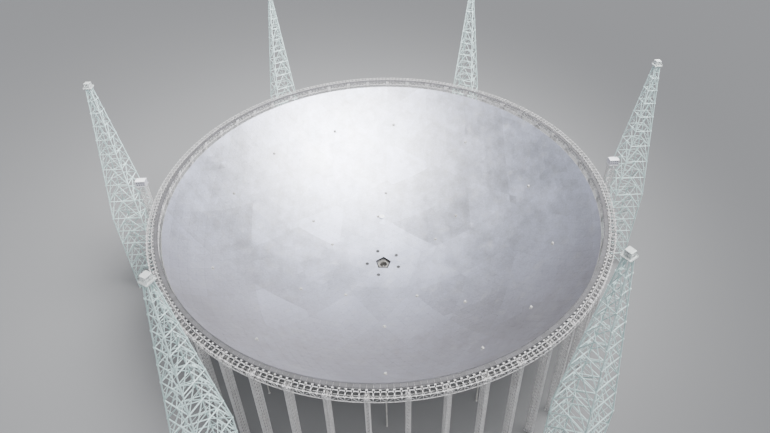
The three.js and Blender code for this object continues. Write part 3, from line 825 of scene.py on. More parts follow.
@dataclass
class Bowl:
    """The reflecting panels with their frames, the cable net under them and the piers."""

    site: Site
    grid: PanelGrid
    side: float = 9.4
    gap: float = 0.06
    depth: float = 0.14
    cut_at: float = 0.82
    frame_depth: float = 1.0
    frame_inset: float = 0.19
    frame_bar: float = 0.06
    frame_tie: float = 0.05
    net_depth: float = 1.7
    cable: float = 0.09
    knot: float = 0.34
    patch_tones: tuple[tuple[int, float], ...] = ((6, 0.12), (12, 0.11))
    own_tone: float = 0.035
    light_rows: int = 5
    light_middle: float = 0.16
    light_rim: float = 0.15
    pier_radius: float = 0.75
    pier_hole: float = 1.6
    well_radius: float = 2.3

    def build(self) -> None:
        """Makes the five sectors of panels, frames and net, then the piers."""
        self.piers = [self.grid.nearest(ring.radius, math.radians(azimuth))
                      for ring in PIER_RINGS for azimuth in ring.azimuths]
        self.heights = [ring.height for ring in PIER_RINGS for _ in ring.azimuths]
        rows, columns = self.grid.panels()
        for sector in range(5):
            inside = self.grid.inside[sector][rows, columns]
            kept = inside.any(axis=1)
            corners = self.grid.points[sector][rows, columns][kept]
            tones = self.tones(sector, rows[kept], columns[kept], inside[kept])
            self.sector_panels(sector, corners, tones)
            self.sector_frames(sector, corners[inside[kept].all(axis=1)])
            self.sector_net(sector)
        self.survey_piers()
        self.wells()
        self.cover()

    def tones(self, sector: int, rows: np.ndarray, columns: np.ndarray, inside: np.ndarray) -> np.ndarray:
        """A tone per panel: that of its large patches, of its own and of its place.

        A patch is a triangle of a few panels a side, found by the whole parts of the panel's three
        grid numbers over the patch's size.
        """
        row = rows.mean(axis=1)
        column = columns.mean(axis=1)
        random = np.random.default_rng(70 + sector)
        tone = 0.5 + random.normal(0, self.own_tone, len(rows))
        for size, strength in self.patch_tones:
            table = random.normal(0, strength, (40, 40, 40))
            a, b, c = (np.floor(n / size).astype(int) for n in (row - column, column, self.grid.rows - row))
            tone += table[a, b, c]
        tone += np.where(row < self.light_rows, self.light_middle, 0.0)
        tone += np.where(inside.all(axis=1), 0.0, self.light_rim)
        return np.clip(tone, 0, 1)

    def sector_panels(self, sector: int, corners: np.ndarray, tones: np.ndarray) -> None:
        """Makes one fifth of the panels, those beside a pier with finer steps and a cut corner."""
        shell = Shell()
        cut = np.zeros(corners.shape[:2], bool)
        for pier in self.piers:
            cut |= corners @ pier > 1 - 1e-7
        beside = cut.any(axis=1)
        for chosen, steps in ((~beside, 2), (beside, 5)):
            self.add_panels(shell, corners[chosen], tones[chosen], cut[chosen], steps)
        nodes = (f"reflector_inner_{sector + 1}", f"reflector_outer_{2 * sector + 1:02d}",
                 f"reflector_outer_{2 * sector + 2:02d}")
        shell.piece(f"bowl_panels_{sector + 1}", PANELS, Slot.PANEL, nodes)

    def add_panels(self, shell: Shell, corners: np.ndarray, tones: np.ndarray, cut: np.ndarray,
                   steps: int) -> None:
        """Adds curved triangular plates.

        A point of a plate is the sum of the three corner directions, each times a weight, drawn
        onto the sphere. The weights step evenly from corner to corner, and all of them are first
        moved a little towards 1/3, which leaves the gap between panels. A weight over cut_at is
        held there, which cuts the corner off beside a pier.

        Args:
            shell: where the plates go.
            corners: unit directions of three corners per panel.
            tones: one per panel.
            cut: True at the corners to be cut off.
            steps: steps along a side.
        """
        p, q = np.array([(p, q) for p in range(steps + 1) for q in range(p + 1)]).T
        weights = np.stack([1 - p / steps, (p - q) / steps, q / steps], axis=-1)
        inset = self.gap / 2 / self.side
        weights = np.broadcast_to(weights * (1 - 3 * inset) + inset, (len(corners), len(p), 3))
        excess = np.maximum(weights - np.where(cut, self.cut_at, 1.0)[:, None, :], 0)
        weights = weights - excess + excess.sum(axis=2, keepdims=True) / 2 * (excess == 0)
        directions = unit(np.einsum("nmk,nkd->nmd", weights, corners))
        number = {(a, b): n for n, (a, b) in enumerate(zip(p, q))}
        flat = [(number[a, b], number[a + 1, b], number[a + 1, b + 1])
                for a in range(steps) for b in range(a + 1)]
        flat += [(number[a, b], number[a + 1, b + 1], number[a, b + 1])
                 for a in range(steps) for b in range(a)]
        flat = np.array(flat)
        edge = np.array([number[a, 0] for a in range(steps)] + [number[steps, b] for b in range(steps)]
                        + [number[a, a] for a in range(steps, 0, -1)])
        ahead = np.roll(edge, -1)
        under = len(p)
        points = np.stack([self.grid.place(directions, below) for below in (0.0, self.depth)], axis=1)
        faces = [np.concatenate([flat, flat[:, ::-1] + under]),
                 np.stack([edge, edge + under, ahead + under, ahead], axis=-1)]
        shell.add_copies(points, faces, tones, np.stack([weights[..., 1:]] * 2, axis=1))

    def sector_frames(self, sector: int, corners: np.ndarray) -> None:
        """Makes the frame behind each panel: a smaller triangle below it, tied to its corners."""
        shell = Shell(10 + sector)
        lower = self.drawn_in(corners, self.frame_inset, self.frame_depth)
        upper = self.drawn_in(corners, 0.02, self.depth)
        shell.bars(lower, np.roll(lower, -1, axis=1), self.frame_bar, 3)
        shell.bars(upper, lower, self.frame_tie, 3)
        shell.piece(f"panel_frames_{sector + 1}", FRAME_ALLOY, Slot.PANEL)

    def drawn_in(self, corners: np.ndarray, share: float, below: float) -> np.ndarray:
        """Panel corners mixed with a share of each of the other two, some way below the bowl."""
        weights = np.eye(3) * (1 - 3 * share) + share
        return self.grid.place(np.einsum("mk,nkd->nmd", weights, corners), below)

    def sector_net(self, sector: int) -> None:
        """Makes the cables along the grid's lines, with a post from each crossing to the panels."""
        shell = Shell(20 + sector)
        points = self.grid.points[sector]
        inside = self.grid.inside[sector]
        i, j = np.array([(i, j) for i in range(self.grid.rows) for j in range(i + 1)]).T
        crossing = (i > 0) & (j > 0)
        lines = (((i, j), (i + 1, j), crossing), ((i, j), (i + 1, j + 1), i > 0),
                 ((i + 1, j), (i + 1, j + 1), True))
        for a, b, own in lines:
            kept = (inside[a] | inside[b]) & own
            shell.bars(self.grid.place(points[a][kept], self.net_depth),
                       self.grid.place(points[b][kept], self.net_depth), self.cable, 3)
        knots = points[i, j][inside[i, j] & crossing]
        high = self.grid.place(knots, self.net_depth - 0.2)
        shell.bars(self.grid.place(knots, self.net_depth + 0.25), high, self.knot, 4)
        shell.bars(high, self.grid.place(knots, self.depth + 0.02), self.cable, 3)
        shell.piece(f"cable_net_{sector + 1}", NET_STEEL, Slot.PANEL)

    def survey_piers(self) -> None:
        """Makes the piers from the floor up through the panels, each with a collar, a cap and a dark ring of
        painted shade in the hole round it.
        """
        shafts = Shell(31)
        caps = Shell(32)
        gap_shades = Shell(36)
        radius = self.pier_radius
        hole = self.pier_hole
        collar = rectangle(hole, hole + 0.4, -0.1, 0.1)
        # Painted shade: a dark flat ring in the hole between the pier and the panels.
        gap = rectangle(radius, hole + 0.02, -0.08, 0.05)
        for direction, height in zip(self.piers, self.heights):
            surface = self.grid.place(direction)
            top = surface[2] + height
            foot = surface * (1 - UP)
            shaft = [[radius * 1.5, 0.0], [radius * 1.5, 0.6], [radius, 0.7], [radius, top - 0.25]]
            shafts.lathe(foot, shaft, 12)
            shafts.lathe(surface, collar, 18, -direction, hollow=True)
            gap_shades.lathe(surface, gap, 18, -direction, hollow=True)
            cap = [[radius, top - 0.25], [radius + 0.3, top - 0.2], [radius + 0.3, top],
                   [radius * 0.5, top + 0.02], [radius * 0.5, top + 0.5]]
            caps.lathe(foot, cap, 14)
        shafts.piece("survey_pier_shafts", PIER_CONCRETE, Slot.DOCK)
        caps.piece("survey_pier_caps", PIER_WHITE, Slot.DOCK)
        gap_shades.piece("survey_pier_gaps", HUB_PAINTED_SHADE, Slot.DOCK)

    def wells(self) -> None:
        """Makes the wells round the hub as dark discs of painted shade, each in a thin rim."""
        wells = Shell(33)
        rims = Shell(34)
        radius = self.well_radius
        for direction in WELLS.directions(self.site.sphere):
            surface = self.grid.place(direction)
            wells.lathe(surface, [[radius, -0.05], [radius, WELLS.height]], 16, -direction)
            rims.lathe(surface, rectangle(radius, radius + 0.2, -0.05, 0.12), 16, -direction, hollow=True)
        wells.piece("well_shade_discs", WELL_PAINTED_SHADE, Slot.DOCK)
        rims.piece("well_rims", NET_STEEL, Slot.DOCK)

    def cover(self) -> None:
        """Makes the round cover on its pier."""
        cover = Shell(35)
        low = COVER.height
        profile = [[0.7, low - 0.7], [3.5, low], [3.8, low + 0.1], [3.8, low + 0.35], [2.4, low + 0.7],
                   [0.5, low + 0.85]]
        cover.lathe(self.grid.place(COVER.directions(self.site.sphere)), profile, 28)
        cover.piece("pier_cover", COVER_WHITE, Slot.DOCK)


@dataclass
class RingGirder:
    """The lattice ring: three chords above and three below, with frames every cell."""

    site: Site
    chord: float = 0.32
    post: float = 0.25
    brace: float = 0.2
    plate: float = 0.05
    middle_row: float = 256.2
    deck_inner: float = 250.0
    deck_outer: float = 254.1
    rail_height: float = 1.25
    leg: float = 0.34
    column_width: float = 3.9
    column_depth: float = 7.8
    column_bays: int = 28

    def build(self) -> None:
        """Makes each section's lattice, walkway and columns by turning one set of shells."""
        site = self.site
        self.azimuths = (np.arange(site.cells + 1) / site.cells - 0.5) * site.section_angle
        self.rows = np.array([site.ring_inner, self.middle_row, site.ring_outer])
        self.levels = np.array([site.ring_low + self.chord, site.ring_top - self.chord])
        self.nodes = polar(self.rows[:, None, None], self.azimuths, self.levels[:, None])
        patterns = (
            Pattern(self.lattice(), "ring_lattice", GIRDER_PAINT, Slot.GIRDER, "girder_section"),
            Pattern(self.inner_bars(), "ring_inner_bars", GIRDER_PAINTED_SHADE, Slot.GIRDER),
            Pattern(self.plates(), "ring_plates", GIRDER_PAINT, Slot.GIRDER),
            Pattern(self.walkway(), "ring_walkway", DECKING, Slot.GIRDER),
            Pattern(self.columns(), "ring_columns", COLUMN_PAINT, Slot.GIRDER, "girder_section"),
        )
        for k in range(site.sections):
            for pattern in patterns:
                pattern.copy(f"{k + 1:02d}", k * site.section_angle)
        self.ties()

    def lattice(self) -> Shell:
        """The chords, the top's bars and both sides' bars of one section."""
        shell = Shell(40)
        for radius in self.rows:
            for z in self.levels:
                shell.round_arc(radius, z, self.chord, self.azimuths)
        own = self.nodes[:, :, :-1]
        for row in (0, 2):
            shell.bars(own[row, 0], own[row, 1], self.post)
            self.brace_cells(shell, self.nodes[row, 0], self.nodes[row, 1])
        for row in (0, 1):
            shell.bars(own[row, 1], own[row + 1, 1], self.post)
        return shell

    def inner_bars(self) -> Shell:
        """The bars within the girder and in its underside, painted dark as painted shade."""
        shell = Shell(45)
        own = self.nodes[:, :, :-1]
        shell.bars(own[1, 0], own[1, 1], self.post)
        for row in (0, 1):
            shell.bars(own[row, 0], own[row + 1, 0], self.post)
            self.brace_cells(shell, self.nodes[row, 0], self.nodes[row + 1, 0])
        for row in (0, 2):
            shell.bars(own[row, 0], own[1, 1], self.brace, 4)
        return shell

    def brace_cells(self, shell: Shell, low: np.ndarray, high: np.ndarray) -> None:
        """Adds a diagonal in every cell between two rows of nodes, turning from cell to cell."""
        odd = np.arange(len(low) - 1)[:, None] % 2
        shell.bars(np.where(odd, high[:-1], low[:-1]), np.where(odd, low[1:], high[1:]), self.brace, 4)

    def plates(self) -> Shell:
        """Flat plates over the top frames, and node plates turned by 45 degrees at the top chords."""
        shell = Shell(44)
        spots = self.azimuths[:-1]
        z = self.site.ring_top - 0.06
        slot = (self.middle_row + self.deck_outer) / 2
        shell.boxes(polar(slot, spots, z), (slot - self.deck_outer, 0.8, self.plate), spots)
        for radius, shift in ((self.middle_row, 0.25), (self.site.ring_outer, -0.25)):
            shell.boxes(polar(radius + shift, spots, z), (0.95, 0.95, self.plate), spots + TURN / 8)
        half = (self.site.ring_outer - self.middle_row) / 2
        shell.boxes(polar(self.middle_row + half, spots, z), (half, 0.42, self.plate), spots)
        return shell

    def walkway(self) -> Shell:
        """The deck along the inner chord, with posts and two rails on each side."""
        shell = Shell(41)
        inner = self.deck_inner
        outer = self.deck_outer
        floor = self.site.ring_top
        rail = floor + self.rail_height
        step = self.azimuths[1] - self.azimuths[0]
        mids = self.azimuths[:-1] + step / 2
        shell.boxes(polar((inner + outer) / 2, mids, floor + 0.06),
                    ((outer - inner) / 2, self.site.ring_inner * step / 2 - 0.06, 0.06), mids)
        posts = np.concatenate([self.azimuths[:-1], mids])
        for radius in (inner + 0.08, outer - 0.08):
            shell.bars(polar(radius, posts, floor), polar(radius, posts, rail), 0.07, 4)
            shell.round_arc(radius, rail, 0.08, self.azimuths, 6)
            shell.round_arc(radius, floor + 0.7, 0.06, self.azimuths, 4)
            shell.flat_arc(radius - 0.03, radius + 0.03, floor + 0.1, floor + 0.3, self.azimuths)
        return shell

    def columns(self) -> Shell:
        """The five lattice columns of one section, from the floor up to the girder."""
        shell = Shell(42)
        count = self.site.columns
        for k in range(count):
            self.column(shell, (k - (count - 1) / 2) * self.site.section_angle / count)
        return shell

    def column(self, shell: Shell, turn: float) -> None:
        """One column: four legs, frames at even heights, crossed bars and uprights between them.

        Over it the girder has a braced portal of the column's width in its outer and inner side.
        """
        site = self.site
        centre = (site.ring_inner + site.ring_outer) / 2
        along = self.column_depth / 2 - self.leg
        half = self.column_width / 2 - self.leg
        out = np.array([math.cos(turn), math.sin(turn), 0.0])
        side = np.array([-math.sin(turn), math.cos(turn), 0.0])
        corners = np.array([(centre + a * along) * out + b * half * side
                            for a, b, _ in np.roll(SQUARE, -1, axis=0)])
        heights = np.linspace(FOOT, site.ring_low, self.column_bays + 1)
        shell.bars(corners, corners + UP * (site.ring_low + self.chord), self.leg, 8)
        for a, b in neighbours(corners[:, None] + heights[None, :, None] * UP):
            shell.crossed(a, b, 0.2, 0.16, 4)
            for share in (0.33, 0.67):
                line = a * (1 - share) + b * share
                shell.bars(line[0], line[-1], 0.15, 4)
        for radius in (site.ring_outer, site.ring_inner):
            foot = np.array([radius * out + b * half * side for b in (-1, 1)])
            low = foot + UP * self.levels[0]
            high = foot + UP * self.levels[1]
            shell.bars(low, high, 0.3)
            shell.bars(low, high[::-1], 0.2)
            shell.bars(*middle(low, high), 0.2)
        shell.boxes(corners + UP * 0.25, (0.7, 0.7, 0.25), turn)
        shell.boxes(centre * out + UP * (site.ring_low + 0.16),
                    (self.column_depth / 2, self.column_width / 2, 0.14), turn)

    def ties(self) -> None:
        """The short ties from the bowl's edge up to the girder, and the tube along that edge."""
        shell = Shell(43)
        site = self.site
        edge = site.rim + 0.25
        low = site.depth_at(site.rim) - 0.35
        whole = np.linspace(0, TURN, site.sections * site.cells + 1)
        shell.round_arc(edge, low, 0.22, whole, 6)
        step = whole[1]
        feet = whole[:-1:2] + step
        for turn in (-step, step):
            shell.bars(polar(edge, feet, low), polar(site.ring_inner, feet + turn, self.levels[0]), 0.11, 6)
        shell.piece("rim_ties", GIRDER_PAINT, Slot.GIRDER)


@dataclass
class Tower:
    """A lattice tower: straight legs up to the knee, then a long taper to the top."""

    site: Site
    knee: float = 120.0
    base_half: float = 16.75
    top_half: float = 2.7
    bay_ratio: float = 0.93
    lower_bays: int = 6
    upper_bays: int = 9
    leg: float = 0.62
    leg_top: float = 0.45
    main: float = 0.5
    lesser: float = 0.2
    rungs: int = 190

    def share_at(self, z: Numbers) -> np.ndarray:
        """How far up the taper a height is, from 0 at the knee to 1 at the top."""
        return np.clip((z - self.knee) / (self.site.tower_top - self.knee), 0, 1)

    def half_at(self, z: Numbers) -> np.ndarray:
        """Half the width at a height, to the middle of the legs."""
        share = self.share_at(z)
        outside = self.base_half + (self.top_half - self.base_half) * share
        return outside - (self.leg + (self.leg_top - self.leg) * share)

    def heights(self) -> np.ndarray:
        """Heights of the frames: even below the knee, then each bay shorter by one ratio."""
        lower = np.linspace(FOOT, self.knee, self.lower_bays + 1)[:-1]
        k = np.arange(self.upper_bays + 1)
        rise = self.site.tower_top - self.leg_top - self.knee
        share = (1 - self.bay_ratio**k) / (1 - self.bay_ratio**self.upper_bays)
        return np.concatenate([lower, self.knee + rise * share])

    def build(self) -> None:
        """Makes the six towers by turning and shifting one lattice."""
        half = self.half_at(0.0)
        feet = np.array([[x * half, y * half, 0.5] for x in (-1, 1) for y in (-1, 1)])
        footings = Shell(51)
        footings.boxes(feet, (1.1, 1.1, 0.5))
        patterns = (Pattern(self.lattice(), "tower_lattice", TOWER_PAINT, Slot.TOWER, "tower"),
                    Pattern(self.ladder(), "tower_ladder", TOWER_PAINT, Slot.TOWER),
                    Pattern(footings, "tower_footings", PIER_CONCRETE, Slot.TOWER))
        for k in range(self.site.towers):
            for pattern in patterns:
                pattern.copy(str(k + 1), *self.site.tower_place(k))

    def lattice(self) -> Shell:
        """All bars of a tower.

        In each face and bay two main bars run from the lower corners to the middle of the upper
        frame; lesser bars join their middles to each other and to the middles of the legs. At every
        frame a square of bars joins the middles of its sides.
        """
        shell = Shell(50)
        z = self.heights()
        half = self.half_at(z)
        corner = np.stack([spot(x * half, y * half, z) for x, y, _ in SQUARE])
        share = self.share_at(z)
        leg = self.leg + (self.leg_top - self.leg) * share
        main = self.main * (1 - 0.4 * share[:-1])
        lesser = self.lesser * (1 - 0.3 * share[:-1])
        mids = middle(corner, np.roll(corner, -1, axis=0))
        for (a, b), (mid, beside) in zip(neighbours(corner), neighbours(mids)):
            shell.bars(a[:-1], a[1:], leg[:-1], 8, leg[1:])
            shell.bars(a[1:], b[1:], main)
            shell.bars(mid[1:], beside[1:], main * 0.8)
            left = middle(a[:-1], mid[1:])
            right = middle(b[:-1], mid[1:])
            shell.bars(a[:-1], mid[1:], main)
            shell.bars(b[:-1], mid[1:], main)
            shell.bars(left, right, lesser)
            for end, inward in ((a, left), (b, right)):
                shell.bars(middle(end[:-1], end[1:]), inward, lesser)
        shell.lathe(corner[:, 1:-1], [[0.86, -0.7], [0.86, 0.7]], 8)
        return shell

    def ladder(self) -> Shell:
        """A ladder up one face, beside its middle, with a landing at every frame."""
        shell = Shell(52)
        z = self.heights()
        half = self.half_at(z) + 0.1
        for y in (0.5, 1.5):
            rail = spot(-half, y, z)
            shell.bars(rail[:-1], rail[1:], 0.08, 4)
        steps = np.linspace(1.5, z[-1] - 1.0, self.rungs)
        out = -np.interp(steps, z, half)
        shell.bars(spot(out, 0.5, steps), spot(out, 1.5, steps), 0.05, 3)
        shell.boxes(spot(0.9 - half[1:], 1.0, z[1:]), (0.9, 1.7, 0.08))
        return shell


@dataclass
class TowerHead:
    """The top of a tower: a deck with rails, and a box frame that holds the guide wheels."""

    site: Site
    half: float = 2.7
    deck_half: float = 3.9
    deck_depth: float = 0.8
    wheel: float = 1.7

    def build(self) -> None:
        """Makes the six heads by turning and shifting one frame."""
        patterns = (Pattern(self.frame(), "tower_head_frame", HEAD_PAINT, Slot.HEAD, "tower_head"),
                    Pattern(self.wheels(), "tower_head_wheels", HOUSE_TRIM, Slot.HEAD))
        for k in range(self.site.towers):
            for pattern in patterns:
                pattern.copy(str(k + 1), *self.site.tower_place(k))

    def frame(self) -> Shell:
        """The deck on its beams, its rails, and the posts with their bracing and open roof."""
        shell = Shell(60)
        low = self.site.tower_top
        deck = low + self.deck_depth
        high = self.site.head_top
        reach = self.deck_half
        shell.boxes(UP * (deck - 0.12), (reach, reach, 0.12))
        beams = spot(np.linspace(0.3 - reach, reach - 0.3, 5), 0.0, low + 0.38)
        shell.boxes(beams, (0.12, reach - 0.1, 0.28))
        shell.boxes(beams[::4, [1, 0, 2]], (reach - 0.1, 0.14, 0.34))
        rail = SQUARE * (reach - 0.1) + UP * deck
        levels = UP * np.array([deck, (deck + high) / 2, high - 0.3])[:, None]
        posts = (SQUARE * (self.half - 0.34))[:, None] + levels
        roof = SQUARE * (self.half - 0.3) + UP * (high - 0.3)
        for (a, b), (p, q), (c, d) in zip(neighbours(rail), neighbours(posts), neighbours(roof)):
            shell.railing(a, b, 5, 0.09)
            shell.bars(p[0], p[2], 0.34, 8)
            shell.bars(p[1], q[1], 0.22)
            for n in (0, 1):
                shell.bars(np.stack([p[n], q[n]]), middle(p[n + 1], q[n + 1]), 0.18)
            shell.bars(c, d, 0.3)
        cross = spot(np.linspace(1.1 - self.half, self.half - 1.1, 3), self.half - 0.4, high - 0.25)
        shell.bars(cross, cross * np.array([1, -1, 1]), 0.2)
        shell.boxes(UP * (high - 0.12), (self.half - 0.5, self.half - 0.5, 0.05))
        return shell

    def wheels(self) -> Shell:
        """Two grooved guide wheels with spokes on an axle between bearing posts."""
        shell = Shell(61)
        deck = self.site.tower_top + self.deck_depth
        axle = deck + 2.1
        x = -0.8
        hub = spot(x, np.array([-0.9, 0.9]), axle)
        size = self.wheel
        rim = [[size - 0.4, -0.25], [size, -0.25], [size - 0.15, 0.0], [size, 0.25], [size - 0.4, 0.25]]
        shell.lathe(hub, rim, 28, np.array([0.0, 1.0, 0.0]), True)
        t = np.arange(8) * TURN / 8
        spoke = spot(np.cos(t), 0.0, np.sin(t))
        for centre in hub:
            shell.bars(centre + spoke * 0.1, centre + spoke * (size - 0.3), 0.1, 4)
        for y, reach, radius, sides in ((-0.9, 0.4, 0.4, 10), (0.9, 0.4, 0.4, 10), (0.0, 1.9, 0.2, 8)):
            shell.bars(spot(x, y - reach, axle), spot(x, y + reach, axle), radius, sides)
        for y in (-1.7, 0.0, 1.7):
            shell.bars(spot(np.array([-1.9, 0.3]), y, deck), spot(x, y, axle), 0.2, 4)
        return shell


@dataclass
class WinchHouse:
    """A sheeted house for the cable winch on a tall lattice stand, the same at two of the towers."""

    site: Site
    at_towers: tuple[int, ...] = (0, 3)
    radius: float = 279.0
    floor: float = 156.0
    length: float = 10.8
    width: float = 7.0
    height: float = 7.6
    stand_inset: float = 1.0
    stand_length: float = 8.0
    stand_width: float = 6.2
    stand_bay: float = 6.4
    leg: float = 0.34
    roof_rise: float = 0.7

    @property
    def ends(self) -> np.ndarray:
        """Radii of the house's two end walls."""
        return self.radius + np.array([-1, 1]) * self.length / 2

    def build(self) -> None:
        """Makes the houses and stands by turning one of each."""
        patterns = (Pattern(self.walls(), "winch_house_walls", HOUSE_SHEETS, Slot.HOUSE, "winch_house"),
                    Pattern(self.roof(), "winch_house_roof", ROOF_SHEETS, Slot.HOUSE),
                    Pattern(self.trim(), "winch_house_trim", HOUSE_TRIM, Slot.HOUSE),
                    Pattern(self.glass(), "winch_house_windows", WINDOWS, Slot.HOUSE),
                    Pattern(self.stand(), "winch_house_stand", COLUMN_PAINT, Slot.HOUSE, "winch_house"))
        for k in self.at_towers:
            turn, _ = self.site.tower_place(k)
            for pattern in patterns:
                pattern.copy(str(k + 1), turn)

    def walls(self) -> Shell:
        """The house's body: an outline with a shallow ridge, drawn along the radius."""
        shell = Shell(70)
        half = self.width / 2
        ridge = self.floor + self.height
        eaves = ridge - self.roof_rise
        outline = np.array([[-half, self.floor], [half, self.floor], [half, eaves], [0, ridge - 0.1],
                            [-half, eaves]])
        shell.prism(outline, self.ends)
        return shell

    def roof(self) -> Shell:
        """Two sloping sheets from the ridge past the walls, each a thin outline drawn along the radius."""
        shell = Shell(74)
        ridge = self.floor + self.height
        eave = self.width / 2 + 0.28
        outline = np.array([[0, ridge - 0.12], [eave, ridge - 0.78], [eave, ridge - 0.62], [0, ridge - 0.03]])
        for side in (-1, 1):
            shell.prism((outline * np.array([side, 1]))[::side], self.ends + np.array([-0.2, 0.2]))
        return shell

    def trim(self) -> Shell:
        """Roof edges, corner strips, a door, roof vents and a railed landing."""
        shell = Shell(71)
        half = self.width / 2
        floor = self.floor
        eaves = floor + self.height - self.roof_rise
        reach = self.length / 2
        for side in (-1, 1):
            y = side * (half + 0.08)
            shell.boxes(spot(self.radius, y, eaves + 0.05), (reach + 0.15, 0.12, 0.16))
            shell.boxes(spot(self.radius, y, floor + 0.15), (reach + 0.1, 0.1, 0.15))
            shell.boxes(spot(self.ends, y - side * 0.05, floor + 3.45), (0.12, 0.12, 3.4))
        shell.boxes(spot(self.ends[0] - 0.06, 1.6, floor + 1.3), (0.08, 0.6, 1.15))
        vents = spot(self.radius + np.array([-3.2, 0.0, 3.2]), 0.0, floor + self.height - 0.5)
        shell.lathe(vents, [[0.3, -0.1], [0.3, 0.2], [0.5, 0.25], [0.1, 0.48]], 10)
        deck = floor - 0.15
        landing = np.array([reach + 0.5, half + 0.8, 0.14])
        shell.boxes(spot(self.radius, 0.0, deck - 0.15), landing)
        corners = spot(self.radius, 0.0, deck) + np.roll(SQUARE, -2, axis=0) * (landing - 0.1)
        for k, (a, b) in enumerate(neighbours(corners)):
            shell.railing(a, b, 6 if k % 2 else 9, 0.07)
        return shell

    def glass(self) -> Shell:
        """A row of windows along each long wall."""
        shell = Shell(72)
        x = self.radius + np.linspace(1.8 - self.length / 2, self.length / 2 - 1.8, 4)
        for side in (-1, 1):
            for level in (2.2, 5.2):
                shell.boxes(spot(x, side * (self.width / 2 + 0.02), self.floor + level), (0.6, 0.05, 0.6))
        return shell

    def stand(self) -> Shell:
        """Four legs with frames and crossed bars, down to the floor, and a ladder."""
        shell = Shell(73)
        reach = np.array([self.stand_length / 2 - self.leg, self.stand_width / 2 - self.leg, 0.0])
        centre = self.radius - self.stand_inset
        corners = spot(centre, 0.0, 0.0) + SQUARE * reach
        top = self.floor - 0.4
        heights = np.linspace(FOOT, top, round(top / self.stand_bay) + 1)
        shell.bars(corners, corners + UP * top, self.leg, 8)
        for a, b in neighbours(corners[:, None] + heights[:, None] * UP):
            shell.crossed(a, b, 0.24, 0.19)
        shell.boxes(corners + UP * 0.25, (0.8, 0.8, 0.25))
        x = centre - reach[0] - 0.5
        for y in (-0.6, 0.6):
            shell.bars(spot(x, y, 0.0), spot(x, y, top), 0.08, 4)
        steps = np.arange(1.0, top, 1.6)
        shell.bars(spot(x, -0.6, steps), spot(x, 0.6, steps), 0.05, 3)
        return shell


@dataclass
class Hub:
    """The pentagonal frame in the middle of the bowl and the round dock a little below it."""

    site: Site
    radius: float = 10.45
    frame_width: float = 1.1
    frame_depth: float = 0.72
    dock_outer: float = 6.8
    dock_inner: float = 4.6
    dock_top: float = 3.4

    def build(self) -> None:
        """Makes the frame with its arms, and the dock with its rails."""
        # Painted shade: the frame tubes are near-black, like the shaded edge of the hole.
        self.frame().piece("hub_frame_tubes", HUB_PAINTED_SHADE, Slot.DOCK, ("hub_frame",))
        self.dock().piece("dock_drum", DOCK_PAINT, Slot.DOCK, ("docking_platform",))
        self.shade_lining().piece("dock_lining", HUB_PAINTED_SHADE, Slot.DOCK)

    def frame(self) -> Shell:
        """Two pentagons of tube joined by short ties, and from each side a braced arm to the dock."""
        shell = Shell(80)
        top = self.site.clearance
        corner = self.site.hub_turn + np.arange(5) * TURN / 5
        high = top - 0.22
        low = top - self.frame_depth + 0.2
        rings = [polar(self.radius - inset, corner, z)
                 for z in (high, low) for inset in (0.28, self.frame_width - 0.1)]
        share = (np.arange(8) / 8)[None, :, None]
        runs = []
        for ring in rings:
            after = np.roll(ring, -1, axis=0)
            shell.bars(ring, after, 0.2, 8)
            runs.append((ring[:, None] + (after - ring)[:, None] * share).reshape(-1, 3))
        for a, b in ((0, 1), (2, 3), (1, 3)):
            shell.bars(runs[a], runs[b], 0.12)
        side = corner + TURN / 10
        apothem = (self.radius - self.frame_width + 0.1) * math.cos(TURN / 10)
        for lift in (0.0, -1.4):
            shell.bars(polar(self.dock_outer, side, self.dock_top - 0.4 + lift),
                       polar(apothem, side, max(low, low + lift)), 0.22, 8)
        return shell

    def shade_lining(self) -> Shell:
        """Two round walls within the drum and a grating with a hole in its middle, all near-black as painted
        shade.
        """
        shell = Shell(82)
        for radius in (self.dock_inner + 0.45, self.dock_outer - 0.6):
            wall = rectangle(radius, radius + 0.12, 0.5, self.dock_top - 0.55)
            shell.lathe(np.zeros(3), wall, 40, hollow=True)
        shell.flat_arc(0.9, self.dock_inner + 0.4, 0.15, 0.35, np.linspace(0, TURN, 41))
        return shell

    def dock(self) -> Shell:
        """The drum as a plated ring on posts with hoops, its grating and two rails."""
        shell = Shell(81)
        whole = np.linspace(0, TURN, 61)
        top = self.dock_top
        shell.flat_arc(self.dock_inner, self.dock_outer, top - 0.5, top - 0.05, whole)
        shell.flat_arc(self.dock_inner + 0.3, self.dock_outer - 0.3, 0.0, 0.5, whole)
        spots = whole[:-1:3]
        outer = self.dock_outer - 0.25
        for radius in (self.dock_inner + 0.25, outer):
            shell.bars(polar(radius, spots, 0.3), polar(radius, spots, top - 0.3), 0.16, 6)
            shell.round_arc(radius, top * 0.5, 0.12, whole, 6)
            shell.round_arc(radius, top + 1.05, 0.08, whole, 6)
            shell.bars(polar(radius, spots, top - 0.1), polar(radius, spots, top + 1.05), 0.06, 4)
        shell.bars(polar(outer, spots, 0.4), polar(outer, spots + whole[3], top - 0.5), 0.1, 4)
        shell.flat_arc(self.dock_inner + 0.35, self.dock_outer - 0.35, top - 0.06, top + 0.02, whole)
        return shell


@dataclass(frozen=True)
class Lamp:
    """One large soft lamp overhead, a disk that points at a place."""

    name: str
    place: Triple
    aim: Triple
    size: float
    power: float
    spread: float = math.pi
    colour: Triple = (0.985, 0.985, 1.0)

    def build(self) -> None:
        """Makes the disk and hangs it at its place."""
        light = bpy.data.lights.new(self.name, "AREA")
        light.shape = "DISK"
        light.size = self.size
        light.spread = self.spread
        self.hang(light)

    def hang(self, light: bpy.types.Light) -> None:
        """Gives the light its power, colour and place, its back turned from what it lights."""
        light.energy = self.power
        light.color = self.colour
        holder = bpy.data.objects.new(self.name, light)
        place = np.array(self.place)
        holder.location = place
        back = unit(place - np.array(self.aim))
        side = unit(np.cross(UP, back))
        turned = Matrix(np.stack([side, np.cross(back, side), back], axis=-1).tolist())
        holder.rotation_euler = turned.to_euler()
        bpy.context.scene.collection.objects.link(holder)


